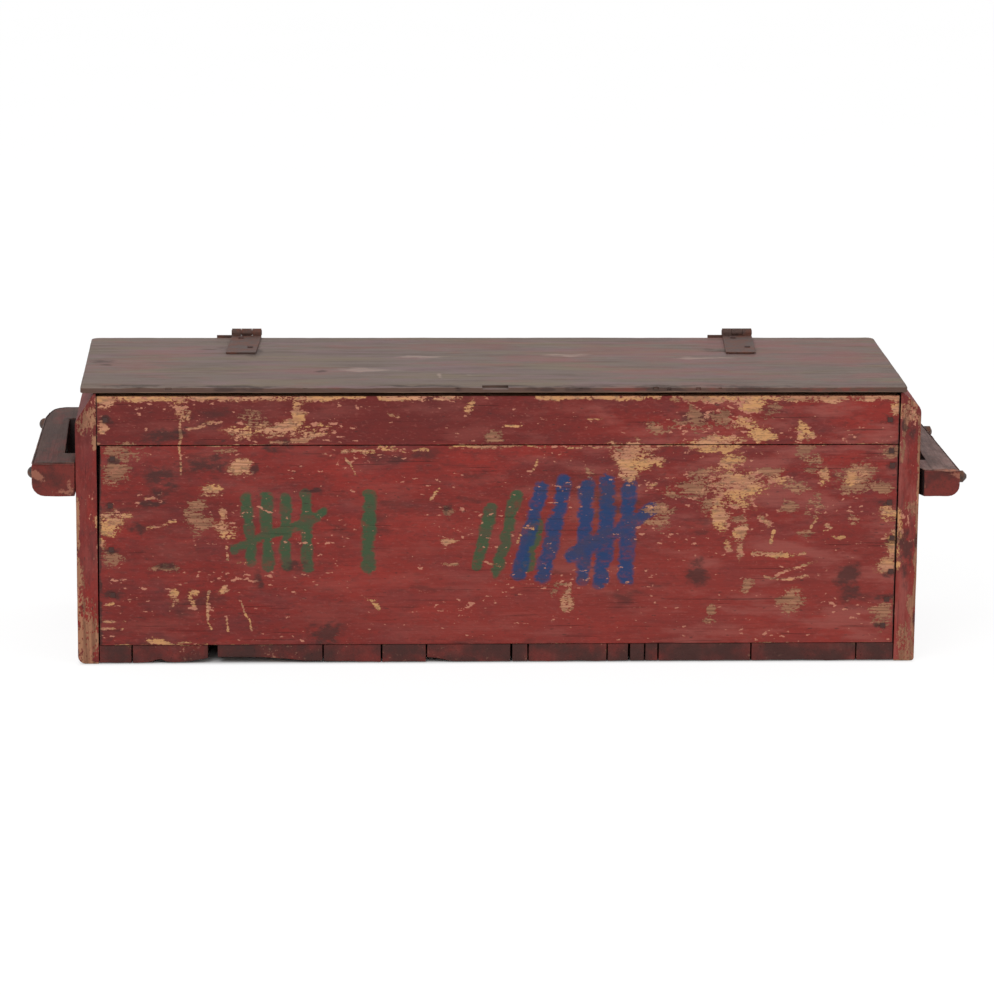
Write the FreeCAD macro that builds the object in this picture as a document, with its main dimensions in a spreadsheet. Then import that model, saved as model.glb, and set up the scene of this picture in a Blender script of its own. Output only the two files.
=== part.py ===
import FreeCAD, Part
import os
import re
import Sketcher

# Long plank tool chest: two thick end planks, nailed boards, cross-laid bottom planks,
# one thin lid board on two strap hinges, and a bolted wooden handle along each end.
# Front is -Y, the lid opens about an axis along X at the top rear edge, millimetres.

doc = FreeCAD.newDocument("tool_chest")
sheet = doc.addObject("Spreadsheet::Sheet", "sizes")

chest_sizes = {
    "chest_length": 1014,  # over the outer faces of the end planks
    "chest_depth": 312,  # over the front and back boards
    "end_height": 333.5,
    "end_thickness": 48,
    "end_strip": 26,  # outer part of an end plank, covers the boards' ends
    "board_thickness": 24,
    "bottom_thickness": 23.5,
    "lid_slot": 4,  # the boards stop this far under the lid
    "upper_board_height": 59.5,
    "board_joint": 0.8,
    "left_shrinkage": 4,  # open joint beside the lower board
    "board_end_gap": 1,
    "left_chamfer_width": 23,
    "left_chamfer_height": 36,
    "right_chamfer_width": 23,
    "right_chamfer_height": 19,
    "left_chamfer_round": 8,
    "right_chamfer_round": 13,
    "left_foot_round": 10,
    "right_foot_round": 4,
}
bottom_sizes = {
    "plank_gap": 1,
    "open_plank_gap": 11,  # one plank has shrunk away from the next
    "plank_setback": 1,
    "plank_width_1": 39,
    "plank_width_2": 91,
    "plank_width_3": 127,
    "plank_width_4": 124,
    "plank_width_5": 122,
    "plank_width_6": 95,
    "plank_width_7": 61,
    "plank_width_8": 112,
    "last_plank_width": 45,
    "wear_length": 42,  # how far in from the front the undersides are worn
}
handle_sizes = {
    "handle_overhang": 18,  # past the chest's back
    "left_handle_width": 52.5,
    "left_handle_height": 42,
    "left_handle_drop": 126.7,  # its underside below the end plank's top
    "left_handle_taper": 2,
    "left_corner_width": 11.3,
    "left_corner_length": 43,
    "right_handle_width": 49.5,
    "right_handle_height": 34,
    "right_handle_drop": 128.8,
    "right_handle_taper": 8,
    "right_corner_width": 5,
    "right_corner_length": 30,
    "right_gap_width": 5,  # the right handle has sprung off the plank at its front end
    "right_gap_length": 14,
    "hollow_wall": 14,  # from a bolt's middle to the finger hollow
    "hollow_front_depth": 14,
    "hollow_rear_depth": 18.5,
    "left_under_round": 16,
    "right_under_round": 14,
    "handle_top_round": 4,
    "left_corner_round": 22,
    "right_corner_round": 13,
}
bolt_sizes = {
    "front_bolt_inset": 45,  # from the chest's front
    "rear_bolt_inset": 36,  # from its back
    "left_front_bolt_rise": 20.6,  # above the handle's underside
    "left_rear_bolt_rise": 31,
    "right_front_bolt_rise": 15.3,
    "right_rear_bolt_rise": 21.5,
    "bolt_radius": 4,
    "bolt_clearance": 0.3,
    "bolt_head_radius": 7.2,
    "bolt_head_height": 7.2,
    "bolt_dome": 7.5,  # radius of the ball the head is turned to
    "bolt_end": 3,  # thread showing past the nut
    "cone_rim": 10.5,  # the right handle's tall heads are straight as far as this
    "cone_tip": 2.4,
    "front_cone_height": 15,
    "rear_cone_height": 12.8,
    "washer_width": 20,
    "washer_thickness": 2,
    "nut_width": 14,
    "nut_thickness": 6.5,
    "thread_clearance": 0.05,
}
lid_sizes = {
    "lid_thickness": 8,
    "lid_left_inset": 7,
    "lid_right_inset": 18,
    "lid_front_overhang": 4,
    "lid_back_inset": 0.3,
    "lid_rear_round": 10,
    "lid_front_round": 4,
    "recess_offset": -6,
    "recess_width": 31,
    "recess_length": 13,
    "recess_depth": 3.5,
}
hinge_sizes = {
    "left_hinge_offset": -305,
    "right_hinge_offset": 315.5,
    "leaf_width": 37,
    "leaf_length": 110,
    "leaf_thickness": 2,
    "leaf_skew": 6.5,  # the lid leaf's free end lies this far to the left
    "leaf_corner": 3,
    "leaf_gap": 0.4,
    "back_leaf_length": 68,
    "ear_width": 19,
    "ear_rise": 2.5,  # above the lid
    "middle_knuckle": 13,
    "knuckle_gap": 0.5,
    "pin_radius": 3,
    "pin_clearance": 0.06,
    "pin_end": 0.6,  # the pin is peened this far outside the barrel
}
nail_sizes = {
    "nail_length": 50,
    "nail_head": 6,
    "nail_head_thickness": 1.6,
    "nail_width": 3.2,
    "nail_point": 1.4,
    "nail_proud": 0.5,
    "edge_nail_inset": 11,  # from the end of a back board
    "leaf_nail_head": 6.4,
    "leaf_nail_head_thickness": 1.2,
    "leaf_nail_width": 2.8,
    "clinch_length": 9,
    "clinch_thickness": 1.4,
    "back_leaf_nail_length": 22,
}
all_sizes = {}
for group in (chest_sizes, bottom_sizes, handle_sizes, bolt_sizes, lid_sizes, hinge_sizes, nail_sizes):
    all_sizes.update(group)

# front nails: distance in from the chest's end, height (below the top where negative)
left_front_nails = ((36.5, -32.5), (44.5, -80), (41.5, 196), (42, 142), (43, 86))
right_front_nails = ((38, -33.5), (35.5, -71.5), (33.8, -89.5), (36, 198),
                     (31.6, 154), (31.8, 112.5), (36, 77.5), (40, 45))
back_nail_levels = (-20.5, -47.5, -85.5, 190, 132, 68)
lid_leaf_nails = ((-7, 16), (5, 76))  # from the leaf's middle, from the chest's back
back_leaf_nails = ((-27, 26), (9, 30), (-10, 58))  # from the leaf's middle, below the pin

for row, (word, size) in enumerate(all_sizes.items(), start=1):
    sheet.set("A%d" % row, word)
    sheet.set("B%d" % row, str(size))
    sheet.setAlias("B%d" % row, word)
doc.recompute()


def ref(text):
    """Expression of the sheet, written with bare size names."""
    return re.sub(r"[a-z][a-z_0-9]+", lambda m: "sizes." + m.group(0), str(text))


def value(text):
    return float(sheet.evalExpression(ref(text)))


def bind(thing, **expressions):
    for prop, text in expressions.items():
        thing.setExpression(prop, ref(text))


def place(thing, x=0, y=0, z=0, turn=None):
    if turn:
        axis, angle = turn
        thing.Placement.Rotation = FreeCAD.Rotation(FreeCAD.Vector(*axis), angle)
    for axis, text in zip("xyz", (x, y, z)):
        thing.setExpression("Placement.Base." + axis, ref(text))
    return thing


def block(label, length, width, height, x=0, y=0, z=0):
    box = doc.addObject("Part::Box", label)
    bind(box, Length=length, Width=width, Height=height)
    return place(box, x, y, z)


def rod(label, radius, height, x=0, y=0, z=0, turn=None):
    cylinder = doc.addObject("Part::Cylinder", label)
    bind(cylinder, Radius=radius, Height=height)
    return place(cylinder, x, y, z, turn)


def joined(label, *pieces):
    fuse = doc.addObject("Part::MultiFuse", label)
    fuse.Shapes = list(pieces)
    return fuse


def grouped(label, pieces):
    compound = doc.addObject("Part::Compound", label)
    compound.Links = list(pieces)
    return compound


def cut(label, base, tool):
    result = doc.addObject("Part::Cut", label)
    result.Base = base
    result.Tool = tool
    return result


def copy_of(thing, label, x, y, z, turn=None):
    link = doc.addObject("App::Link", label)
    link.LinkedObject = thing
    return place(link, x, y, z, turn)


def new_body(label):
    return doc.addObject("PartDesign::Body", label)


def new_sketch(body, plane, lift):
    sketch = body.newObject("Sketcher::SketchObject", body.Name + "_sketch")
    origin_plane = [f for f in body.Origin.OriginFeatures if f.Role == plane][0]
    sketch.AttachmentSupport = (origin_plane, "")
    sketch.MapMode = "FlatFace"
    sketch.setExpression("AttachmentOffset.Base.z", ref(lift))
    return sketch


def outline(body, plane, corners, lift=0):
    """Sketch of one closed outline whose corners are pairs of expressions."""
    sketch = new_sketch(body, plane, lift)
    points = [FreeCAD.Vector(value(a), value(b), 0) for a, b in corners]
    count = len(points)
    for i in range(count):
        sketch.addGeometry(Part.LineSegment(points[i], points[(i + 1) % count]), False)
    for i in range(count):
        sketch.addConstraint(Sketcher.Constraint("Coincident", i, 2, (i + 1) % count, 1))
    for i, corner in enumerate(corners):
        for kind, text, size in zip(("DistanceX", "DistanceY"), corner, points[i]):
            number = sketch.addConstraint(Sketcher.Constraint(kind, -1, 1, i, 1, size))
            sketch.setExpression("Constraints[%d]" % number, ref(text))
    return sketch


def circle(body, plane, radius, lift=0):
    """Sketch of one circle about the body's own origin."""
    sketch = new_sketch(body, plane, lift)
    sketch.addGeometry(Part.Circle(FreeCAD.Vector(), FreeCAD.Vector(0, 0, 1), value(radius)), False)
    sketch.addConstraint(Sketcher.Constraint("Coincident", 0, 3, -1, 1))
    number = sketch.addConstraint(Sketcher.Constraint("Radius", 0, value(radius)))
    sketch.setExpression("Constraints[%d]" % number, ref(radius))
    return sketch


def pad(body, sketch, length, flip=False):
    feature = body.newObject("PartDesign::Pad", body.Name + "_pad")
    feature.Profile = sketch
    feature.Reversed = flip
    bind(feature, Length=length)
    doc.recompute()
    return feature


def pocket(body, sketch, length, flip=False):
    before = body.Shape.Volume
    feature = body.newObject("PartDesign::Pocket", body.Name + "_pocket")
    feature.Profile = sketch
    feature.Reversed = flip
    bind(feature, Length=length)
    doc.recompute()
    if body.Shape.Volume > before - 1e-3:
        raise RuntimeError(feature.Name + " cuts nothing")
    return feature


def rounded(body, radius, wanted):
    """Fillet on each edge whose middle point passes the test."""
    doc.recompute()
    names = []
    for number, edge in enumerate(body.Shape.Edges, start=1):
        middle = edge.valueAt((edge.FirstParameter + edge.LastParameter) / 2)
        local = body.Placement.inverse().multVec(middle)
        if wanted(local.x, local.y, local.z):
            names.append("Edge%d" % number)
    if not names:
        raise RuntimeError(body.Name + " has no such edge")
    base = body.Tip
    feature = body.newObject("PartDesign::Fillet", body.Name + "_round")
    feature.Base = (base, names)
    bind(feature, Radius=radius)
    doc.recompute()
    return feature


def close_to(a, b):
    return abs(a - b) < 0.01


nodes = {}


def keep(label, thing):
    thing.Label = label
    nodes[label] = thing
    return thing


# nails: head on top, the point down
def nail(label, head, head_thickness, width, point, length):
    top = block(label + "_head", head, head, head_thickness,
                "-%s / 2" % head, "-%s / 2" % head, "-%s" % head_thickness)
    shank = doc.addObject("Part::Wedge", label + "_shank")
    bind(shank, Ymin=0, Ymax=length, Xmin="-%s / 2" % width, Xmax="%s / 2" % width,
         X2min="-%s / 2" % width, X2max="%s / 2" % width, Zmin="-%s / 2" % width, Zmax="%s / 2" % width,
         Z2min="-%s / 2" % point, Z2max="%s / 2" % point)
    place(shank, turn=((1, 0, 0), -90))
    return joined(label, top, shank)


board_nail = nail("board_nail", "nail_head", "nail_head_thickness", "nail_width", "nail_point", "nail_length")
into_front = ((1, 0, 0), 90)
into_back = ((1, 0, 0), -90)
upwards = ((1, 0, 0), 180)


def nail_level(level):
    return level if level > 0 else "end_height - %g" % -level


front_nails = []
for side, places in ((-1, left_front_nails), (1, right_front_nails)):
    for inset, level in places:
        front_nails.append(copy_of(board_nail, "front_nail", "%d * (chest_length / 2 - %g)" % (side, inset),
                                   "-chest_depth / 2 - nail_proud", nail_level(level), into_front))
front_board_nails = keep("front_board_nails", grouped("front_board_nails", front_nails))

back_nails = []
for side in (-1, 1):
    for level in back_nail_levels:
        back_nails.append(copy_of(board_nail, "back_nail",
                                  "%d * (chest_length / 2 - end_strip - edge_nail_inset)" % side,
                                  "chest_depth / 2 + nail_proud", nail_level(level), into_back))
back_board_nails = keep("back_board_nails", grouped("back_board_nails", back_nails))

# bottom planks lie across the chest between the two end strips
plank_count = 10
plank_gaps = ["open_plank_gap" if number == 2 else "plank_gap" for number in range(1, plank_count)]
plank_widths = ["plank_width_%d" % number for number in range(1, plank_count - 1)]
other_widths = plank_widths + plank_gaps + ["last_plank_width"]
filler_width = "(chest_length - 2 * end_strip - %s)" % " - ".join(other_widths)
plank_widths += [filler_width, "last_plank_width"]
plank_starts = ["-chest_length / 2 + end_strip"]
for width, gap in zip(plank_widths, plank_gaps):
    plank_starts.append("%s + %s + %s" % (plank_starts[-1], width, gap))
narrow_plank = 60

# worn undersides, seen from the front: share of the plank's width, height
worn_edges = {
    2: ((0.35, 0), (0.6, 4.5), (0.8, 3), (1, 6)),
    3: ((0, 7.5), (0.42, 7), (0.85, 2), (1, 1.5)),
    4: ((0, 1.5), (0.4, 0)),
    5: ((0, 6), (0.12, 4.5), (0.25, 0)),
}


def worn_level(number, share):
    profile = worn_edges.get(number, ())
    for (near, low), (far, high) in zip(profile, profile[1:]):
        if near <= share <= far:
            return low + (high - low) * (share - near) / (far - near)
    return 0


bottom_nail_list = []
for number, (start, width) in enumerate(zip(plank_starts, plank_widths), start=1):
    shares = (0.5,) if value(width) < narrow_plank else (0.25, 0.75)
    for share in shares:
        across = "%s + %g * (%s)" % (start, share, width)
        for side in (-1, 1):
            level = worn_level(number, share) if side < 0 else 0
            under_board = "%d * (chest_depth - board_thickness) / 2" % side
            bottom_nail_list.append(copy_of(board_nail, "bottom_nail", across, under_board, level, upwards))
bottom_nails = keep("bottom_nails", grouped("bottom_nails", bottom_nail_list))

for number, (start, width) in enumerate(zip(plank_starts, plank_widths), start=1):
    plank = new_body("bottom_plank_blank_%d" % number)
    place(plank, start, "-chest_depth / 2 + plank_setback", 0)
    plank_length = "chest_depth - 2 * plank_setback"
    plan = [(0, 0), (width, 0), (width, plank_length), (0, plank_length)]
    pad(plank, outline(plank, "XY_Plane", plan), "bottom_thickness")
    if number in worn_edges:
        profile = worn_edges[number]
        corners = [("%g * (%s)" % (profile[0][0], width), 0)] if profile[0][1] else []
        corners += [("%g * (%s)" % (share, width), level) for share, level in profile]
        if profile[-1][1]:
            corners.append(("%g * (%s)" % (profile[-1][0], width), 0))
        pocket(plank, outline(plank, "XZ_Plane", corners), "wear_length")
    label = "bottom_plank_%02d" % number
    keep(label, cut(label, plank, bottom_nails))

# front and back boards, nailed to the end planks' tongues
board_start = "-chest_length / 2 + end_strip"
board_span = "chest_length - 2 * end_strip - board_end_gap"
lower_height = "end_height - lid_slot - upper_board_height - board_joint - bottom_thickness"
upper_level = "end_height - lid_slot - upper_board_height"
leaf_nail = nail("leaf_nail", "leaf_nail_head", "leaf_nail_head_thickness", "leaf_nail_width",
                 "leaf_nail_width / 2", "back_leaf_nail_length")
hinge_places = {"left": "left_hinge_offset", "right": "right_hinge_offset"}
barrel_radius = "(pin_radius + pin_clearance + leaf_thickness)"
pin_y = "chest_depth / 2 + " + barrel_radius
pin_z = "end_height + lid_thickness + " + barrel_radius
back_leaf_nail_list = []
for offset in hinge_places.values():
    for across, below in back_leaf_nails:
        back_leaf_nail_list.append(copy_of(leaf_nail, "back_leaf_nail", "%s + %g" % (offset, across),
                                           "chest_depth / 2 + leaf_thickness + leaf_nail_head_thickness",
                                           "%s - %g" % (pin_z, below), into_back))
back_leaf_nail_group = keep("back_leaf_nails", grouped("back_leaf_nails", back_leaf_nail_list))

front_y = "-chest_depth / 2"
back_y = "chest_depth / 2 - board_thickness"
lower_start = board_start + " + left_shrinkage"
lower_span = board_span + " - left_shrinkage"
boards = {
    "front_upper_board": (board_span, "upper_board_height", board_start, front_y, upper_level,
                          [front_board_nails]),
    "front_lower_board": (lower_span, lower_height, lower_start, front_y, "bottom_thickness",
                          [front_board_nails, bottom_nails]),
    "back_upper_board": (board_span, "upper_board_height", board_start, back_y, upper_level,
                         [back_board_nails, back_leaf_nail_group]),
    "back_lower_board": (lower_span, lower_height, board_start, back_y, "bottom_thickness",
                         [back_board_nails, bottom_nails]),
}
for label, (span, height, x, y, z, nails) in boards.items():
    blank = block(label + "_blank", span, "board_thickness", height, x, y, z)
    keep(label, cut(label, blank, grouped(label + "_nails", nails)))


# handle bolts: the head's seat is at the local origin, the shank points down
def bolt(label, length, cone_height):
    shank = rod(label + "_shank", "bolt_radius", length, z="-(%s)" % length)
    if cone_height:
        rim = rod(label + "_rim", "bolt_head_radius", "cone_rim")
        tip = doc.addObject("Part::Cone", label + "_tip")
        bind(tip, Radius1="bolt_head_radius", Radius2="cone_tip", Height=cone_height + " - cone_rim")
        return joined(label, shank, rim, place(tip, z="cone_rim"))
    ball = doc.addObject("Part::Sphere", label + "_ball")
    bind(ball, Radius="bolt_dome")
    dome = doc.addObject("Part::Common", label + "_dome")
    dome.Base = rod(label + "_rim", "bolt_head_radius", "bolt_head_height")
    dome.Tool = place(ball, z="bolt_head_height - bolt_dome")
    return joined(label, shank, dome)


handle_length = "(chest_depth + handle_overhang)"
corner_start = {side: "%s - %s_corner_length" % (handle_length, side) for side in ("left", "right")}
handle_level = {side: "(end_height - %s_handle_drop)" % side for side in ("left", "right")}
bolt_offset = {"front": "front_bolt_inset", "rear": "(chest_depth - rear_bolt_inset)"}
hole_sets = {}
for side, sign in (("left", -1), ("right", 1)):
    outwards = ((0, 1, 0), 90 * sign)
    bolts = []
    washers = []
    nuts = []
    holes = []
    for spot, offset in bolt_offset.items():
        name = side + "_" + spot
        high_side = "(%s - bolt_head_radius)" % offset
        taper = "%s_handle_taper / (%s)" % (side, corner_start[side])
        reach = "(%s_handle_width - %s * %s)" % (side, high_side, taper)
        where = dict(y="-chest_depth / 2 + " + offset, turn=outwards,
                     z="%s + %s_bolt_rise" % (handle_level[side], name))
        seat_x = "%d * (chest_length / 2 + %s)" % (sign, reach)
        length = reach + " + end_thickness + washer_thickness + nut_thickness + bolt_end"
        cone_height = spot + "_cone_height" if side == "right" else None
        bolts.append(place(bolt(name + "_bolt", length, cone_height), x=seat_x, **where))
        hole = rod(name + "_hole", "bolt_radius + bolt_clearance", length)
        holes.append(place(hole, x="%s - %d * (%s)" % (seat_x, sign, length), **where))
        inner_x = "%d * (chest_length / 2 - end_thickness)" % sign
        plate = block(name + "_plate", "washer_width", "washer_width", "washer_thickness",
                      "-washer_width / 2", "-washer_width / 2", "-washer_thickness")
        bore = rod(name + "_plate_bore", "bolt_radius + bolt_clearance", "washer_thickness",
                   z="-washer_thickness")
        washers.append(place(cut(name + "_washer", plate, bore), x=inner_x, **where))
        square = block(name + "_square", "nut_width", "nut_width", "nut_thickness", "-nut_width / 2",
                       "-nut_width / 2", "-washer_thickness - nut_thickness")
        thread = rod(name + "_thread", "bolt_radius + thread_clearance", "nut_thickness",
                     z="-washer_thickness - nut_thickness")
        nuts.append(place(cut(name + "_nut", square, thread), x=inner_x, **where))
    keep(side + "_handle_bolts", grouped(side + "_handle_bolts", bolts))
    keep(side + "_handle_washers", grouped(side + "_handle_washers", washers))
    keep(side + "_handle_nuts", grouped(side + "_handle_nuts", nuts))
    hole_sets[side] = grouped(side + "_holes", holes)

# end planks: one thick plank each, rebated at front, back and foot for the boards that lap it
for side, sign in (("left", -1), ("right", 1)):
    plank = new_body(side + "_end_blank")
    place(plank, x="%d * chest_length / 2" % sign)
    strip_x = "%d * end_strip" % -sign
    tongue_x = "%d * end_thickness" % -sign
    half_depth = "chest_depth / 2"
    half_tongue = "(chest_depth / 2 - board_thickness)"
    plan = [(0, "-" + half_depth), (strip_x, "-" + half_depth), (strip_x, "-" + half_tongue),
            (tongue_x, "-" + half_tongue), (tongue_x, half_tongue), (strip_x, half_tongue),
            (strip_x, half_depth), (0, half_depth)]
    pad(plank, outline(plank, "XY_Plane", plan), "end_height")
    foot = [(strip_x, 0), (tongue_x, 0), (tongue_x, "bottom_thickness"), (strip_x, "bottom_thickness")]
    pocket(plank, outline(plank, "XZ_Plane", foot, "-chest_depth / 2"), "chest_depth", flip=True)
    chamfer = [(0, "end_height - %s_chamfer_height" % side),
               ("%d * %s_chamfer_width" % (-sign, side), "end_height"), (0, "end_height")]
    pocket(plank, outline(plank, "XZ_Plane", chamfer, "-chest_depth / 2"), "chest_depth", flip=True)
    shoulder = value("end_height - %s_chamfer_height" % side)
    for radius, level in ((side + "_chamfer_round", shoulder), (side + "_foot_round", 0)):
        rounded(plank, radius, lambda x, y, z: close_to(x, 0) and close_to(y, 0) and close_to(z, level))
    label = side + "_end_plank"
    tool = grouped(label + "_cuts", [front_board_nails, back_board_nails, hole_sets[side]])
    keep(label, cut(label, plank, tool))

# handles: a rail along each end with a hollow behind it for the fingers
for side, sign in (("left", -1), ("right", 1)):
    rail = new_body(side + "_handle_blank")
    place(rail, x="%d * chest_length / 2" % sign, y="-chest_depth / 2", z=handle_level[side])
    wide = side + "_handle_width"
    narrow = "(%s - %s_handle_taper)" % (wide, side)
    end_width = "%s - %s_corner_width" % (narrow, side)
    hollow_start = bolt_offset["front"] + " + hollow_wall"
    hollow_end = bolt_offset["rear"] + " - hollow_wall"
    plan = [(wide, 0), (narrow, corner_start[side]), (end_width, handle_length), (0, handle_length),
            (0, hollow_end), ("hollow_rear_depth", hollow_end), ("hollow_front_depth", hollow_start),
            (0, hollow_start)]
    if side == "right":
        plan += [(0, "right_gap_length"), ("right_gap_width", 0)]
    else:
        plan.append((0, 0))
    plan = [("%d * (%s)" % (sign, across), along) for across, along in plan]
    pad(rail, outline(rail, "XY_Plane", plan), side + "_handle_height")
    corner_x = sign * value(end_width)
    corner_y = value(handle_length)
    rounded(rail, side + "_corner_round", lambda x, y, z: close_to(x, corner_x) and close_to(y, corner_y))
    half_x = sign * value("%s - %s_handle_taper / 2" % (wide, side))
    half_y = value("(%s) / 2" % corner_start[side])
    rounded(rail, side + "_under_round",
            lambda x, y, z: close_to(x, half_x) and close_to(y, half_y) and close_to(z, 0))
    rounded(rail, "handle_top_round",
            lambda x, y, z: close_to(x, half_x) and close_to(y, half_y)
            and close_to(z, value(side + "_handle_height")))
    keep(side + "_handle", cut(side + "_handle", rail, hole_sets[side]))

# clinched nails hold the lid leaves: the point is turned over under the lid
clinch_shank = block("clinch_shank", "leaf_nail_width", "leaf_nail_width", "leaf_thickness + lid_thickness",
                     "-leaf_nail_width / 2", "-leaf_nail_width / 2", "-leaf_thickness - lid_thickness")
clinch_head = block("clinch_head", "leaf_nail_head", "leaf_nail_head", "leaf_nail_head_thickness",
                    "-leaf_nail_head / 2", "-leaf_nail_head / 2", 0)
clinch_point = block("clinch_point", "clinch_length", "leaf_nail_width", "clinch_thickness",
                     "-leaf_nail_width / 2", "-leaf_nail_width / 2",
                     "-leaf_thickness - lid_thickness - clinch_thickness")
clinched_nail = joined("clinched_nail", clinch_head, clinch_shank, clinch_point)
clinched = []
leaf_top = "end_height + lid_thickness + leaf_thickness"
for offset in hinge_places.values():
    for across, inwards in lid_leaf_nails:
        clinched.append(copy_of(clinched_nail, "lid_nail", "%s + %g" % (offset, across),
                                "chest_depth / 2 - %g" % inwards, leaf_top))
lid_leaf_nail_group = keep("lid_leaf_nails", grouped("lid_leaf_nails", clinched))

# lid: one thin board, with a shallow recess in the middle of its front edge
lid_length = "(chest_length - lid_left_inset - lid_right_inset)"
lid_depth = "(chest_depth + lid_front_overhang - lid_back_inset)"
lid = new_body("lid_blank")
place(lid, "-chest_length / 2 + lid_left_inset", "-chest_depth / 2 - lid_front_overhang", "end_height")
lid_plan = [(0, 0), (lid_length, 0), (lid_length, lid_depth), (0, lid_depth)]
pad(lid, outline(lid, "XY_Plane", lid_plan), "lid_thickness")
recess_middle = "chest_length / 2 - lid_left_inset + recess_offset"
recess_left = recess_middle + " - recess_width / 2"
recess_right = recess_middle + " + recess_width / 2"
recess = [(recess_left, 0), (recess_right, 0), (recess_right, "recess_length"),
          (recess_left, "recess_length")]
pocket(lid, outline(lid, "XY_Plane", recess, "lid_thickness"), "recess_depth")
lid_right = value(lid_length)
lid_rear = value(lid_depth)
half_up = value("lid_thickness / 2")
rounded(lid, "lid_rear_round", lambda x, y, z: close_to(y, lid_rear) and close_to(z, half_up)
        and (close_to(x, 0) or close_to(x, lid_right)))
rounded(lid, "lid_front_round", lambda x, y, z: close_to(y, 0) and close_to(z, half_up)
        and (close_to(x, 0) or close_to(x, lid_right)))
keep("lid_board", cut("lid_board", lid, lid_leaf_nail_group))


# hinges, each about its own pin: the lid leaf has the middle knuckle, the back leaf the outer two
def barrel(body, start, length):
    pad(body, circle(body, "YZ_Plane", barrel_radius, start), length)


def ream(body):
    bore = circle(body, "YZ_Plane", "pin_radius + pin_clearance", "-leaf_width / 2")
    pocket(body, bore, "leaf_width", flip=True)


pins = []
for side, offset in hinge_places.items():
    leaf = new_body(side + "_lid_leaf_blank")
    place(leaf, offset, pin_y, pin_z)
    shoulder_y = "-%s - leaf_gap" % barrel_radius
    free_y = "-%s - leaf_length" % barrel_radius
    plate = [("-leaf_width / 2 - leaf_skew", free_y), ("leaf_width / 2 - leaf_skew", free_y),
             ("leaf_width / 2", shoulder_y), ("middle_knuckle / 2", shoulder_y), ("middle_knuckle / 2", 0),
             ("-middle_knuckle / 2", 0), ("-middle_knuckle / 2", shoulder_y), ("-leaf_width / 2", shoulder_y)]
    pad(leaf, outline(leaf, "XY_Plane", plate, "-" + barrel_radius), "leaf_thickness")
    barrel(leaf, "-middle_knuckle / 2", "middle_knuckle")
    ream(leaf)
    free_end = value(free_y)
    half_leaf = value("-%s + leaf_thickness / 2" % barrel_radius)
    rounded(leaf, "leaf_corner", lambda x, y, z: close_to(y, free_end) and close_to(z, half_leaf)
            and abs(x + value("leaf_skew")) > value("leaf_width") / 4)
    keep(side + "_hinge_lid_leaf", cut(side + "_hinge_lid_leaf", leaf, lid_leaf_nail_group))

    leaf = new_body(side + "_back_leaf_blank")
    place(leaf, offset, pin_y, pin_z)
    notch_x = "(middle_knuckle / 2 + knuckle_gap)"
    notch_z = "-%s - knuckle_gap" % barrel_radius
    ear_x = "-leaf_width / 2 - ear_width"
    ear_z = "-%s + ear_rise" % barrel_radius
    plate = [(ear_x, "-back_leaf_length"), ("leaf_width / 2", "-back_leaf_length"), ("leaf_width / 2", 0),
             (notch_x, 0), (notch_x, notch_z), ("-" + notch_x, notch_z), ("-" + notch_x, 0),
             ("-leaf_width / 2", 0), ("-leaf_width / 2", ear_z), (ear_x, ear_z)]
    pad(leaf, outline(leaf, "XZ_Plane", plate, barrel_radius), "leaf_thickness", flip=True)
    outer_knuckle = "leaf_width / 2 - " + notch_x
    barrel(leaf, "-leaf_width / 2", outer_knuckle)
    barrel(leaf, notch_x, outer_knuckle)
    ream(leaf)
    keep(side + "_hinge_back_leaf", cut(side + "_hinge_back_leaf", leaf, back_leaf_nail_group))

    pin = rod(side + "_pin", "pin_radius", "leaf_width + 2 * pin_end")
    pins.append(place(pin, "%s - leaf_width / 2 - pin_end" % offset, pin_y, pin_z, ((0, 1, 0), 90)))
keep("hinge_pins", grouped("hinge_pins", pins))

doc.recompute()
for thing in doc.Objects:
    if "Invalid" in thing.State or "Error" in thing.State:
        raise RuntimeError("failed: " + thing.Name)
for label, thing in nodes.items():
    if thing.Shape.isNull() or not thing.Shape.isValid():
        raise RuntimeError("bad shape: " + label)

os.makedirs("parts", exist_ok=True)
for label, thing in nodes.items():
    thing.Shape.exportStep("parts/%s.step" % label)
    print("%-24s %2d solids %12.1f mm3" % (label, len(thing.Shape.Solids), thing.Shape.Volume))
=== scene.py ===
import math
import bmesh
import bpy
import numpy as np
from mathutils import Matrix, Vector
from mathutils import noise as ripple


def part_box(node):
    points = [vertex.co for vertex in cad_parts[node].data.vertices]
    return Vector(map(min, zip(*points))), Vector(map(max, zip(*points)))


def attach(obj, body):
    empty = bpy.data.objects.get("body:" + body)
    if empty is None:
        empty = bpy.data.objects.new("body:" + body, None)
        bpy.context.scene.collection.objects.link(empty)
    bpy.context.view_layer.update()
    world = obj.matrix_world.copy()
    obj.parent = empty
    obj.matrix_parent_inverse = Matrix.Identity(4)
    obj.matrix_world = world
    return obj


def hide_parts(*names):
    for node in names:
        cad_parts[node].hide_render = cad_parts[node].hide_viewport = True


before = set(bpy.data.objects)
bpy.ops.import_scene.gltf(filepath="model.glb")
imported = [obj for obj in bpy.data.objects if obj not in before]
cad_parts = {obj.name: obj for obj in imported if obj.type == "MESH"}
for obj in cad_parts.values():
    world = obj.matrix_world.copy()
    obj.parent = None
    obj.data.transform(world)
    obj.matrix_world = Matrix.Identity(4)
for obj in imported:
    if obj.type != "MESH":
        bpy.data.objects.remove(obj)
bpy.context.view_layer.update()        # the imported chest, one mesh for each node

# A long plank tool chest in worn red paint. Front is -Y, left is -X, sizes in millimetres.
mm = 0.001
clear = 5  # how far a cutter stands out of what it cuts
smoothUpTo = 40  # degrees between two faces that still look like one
sharpFrom = 0.5  # radians between the two faces of a sharp edge
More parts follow.
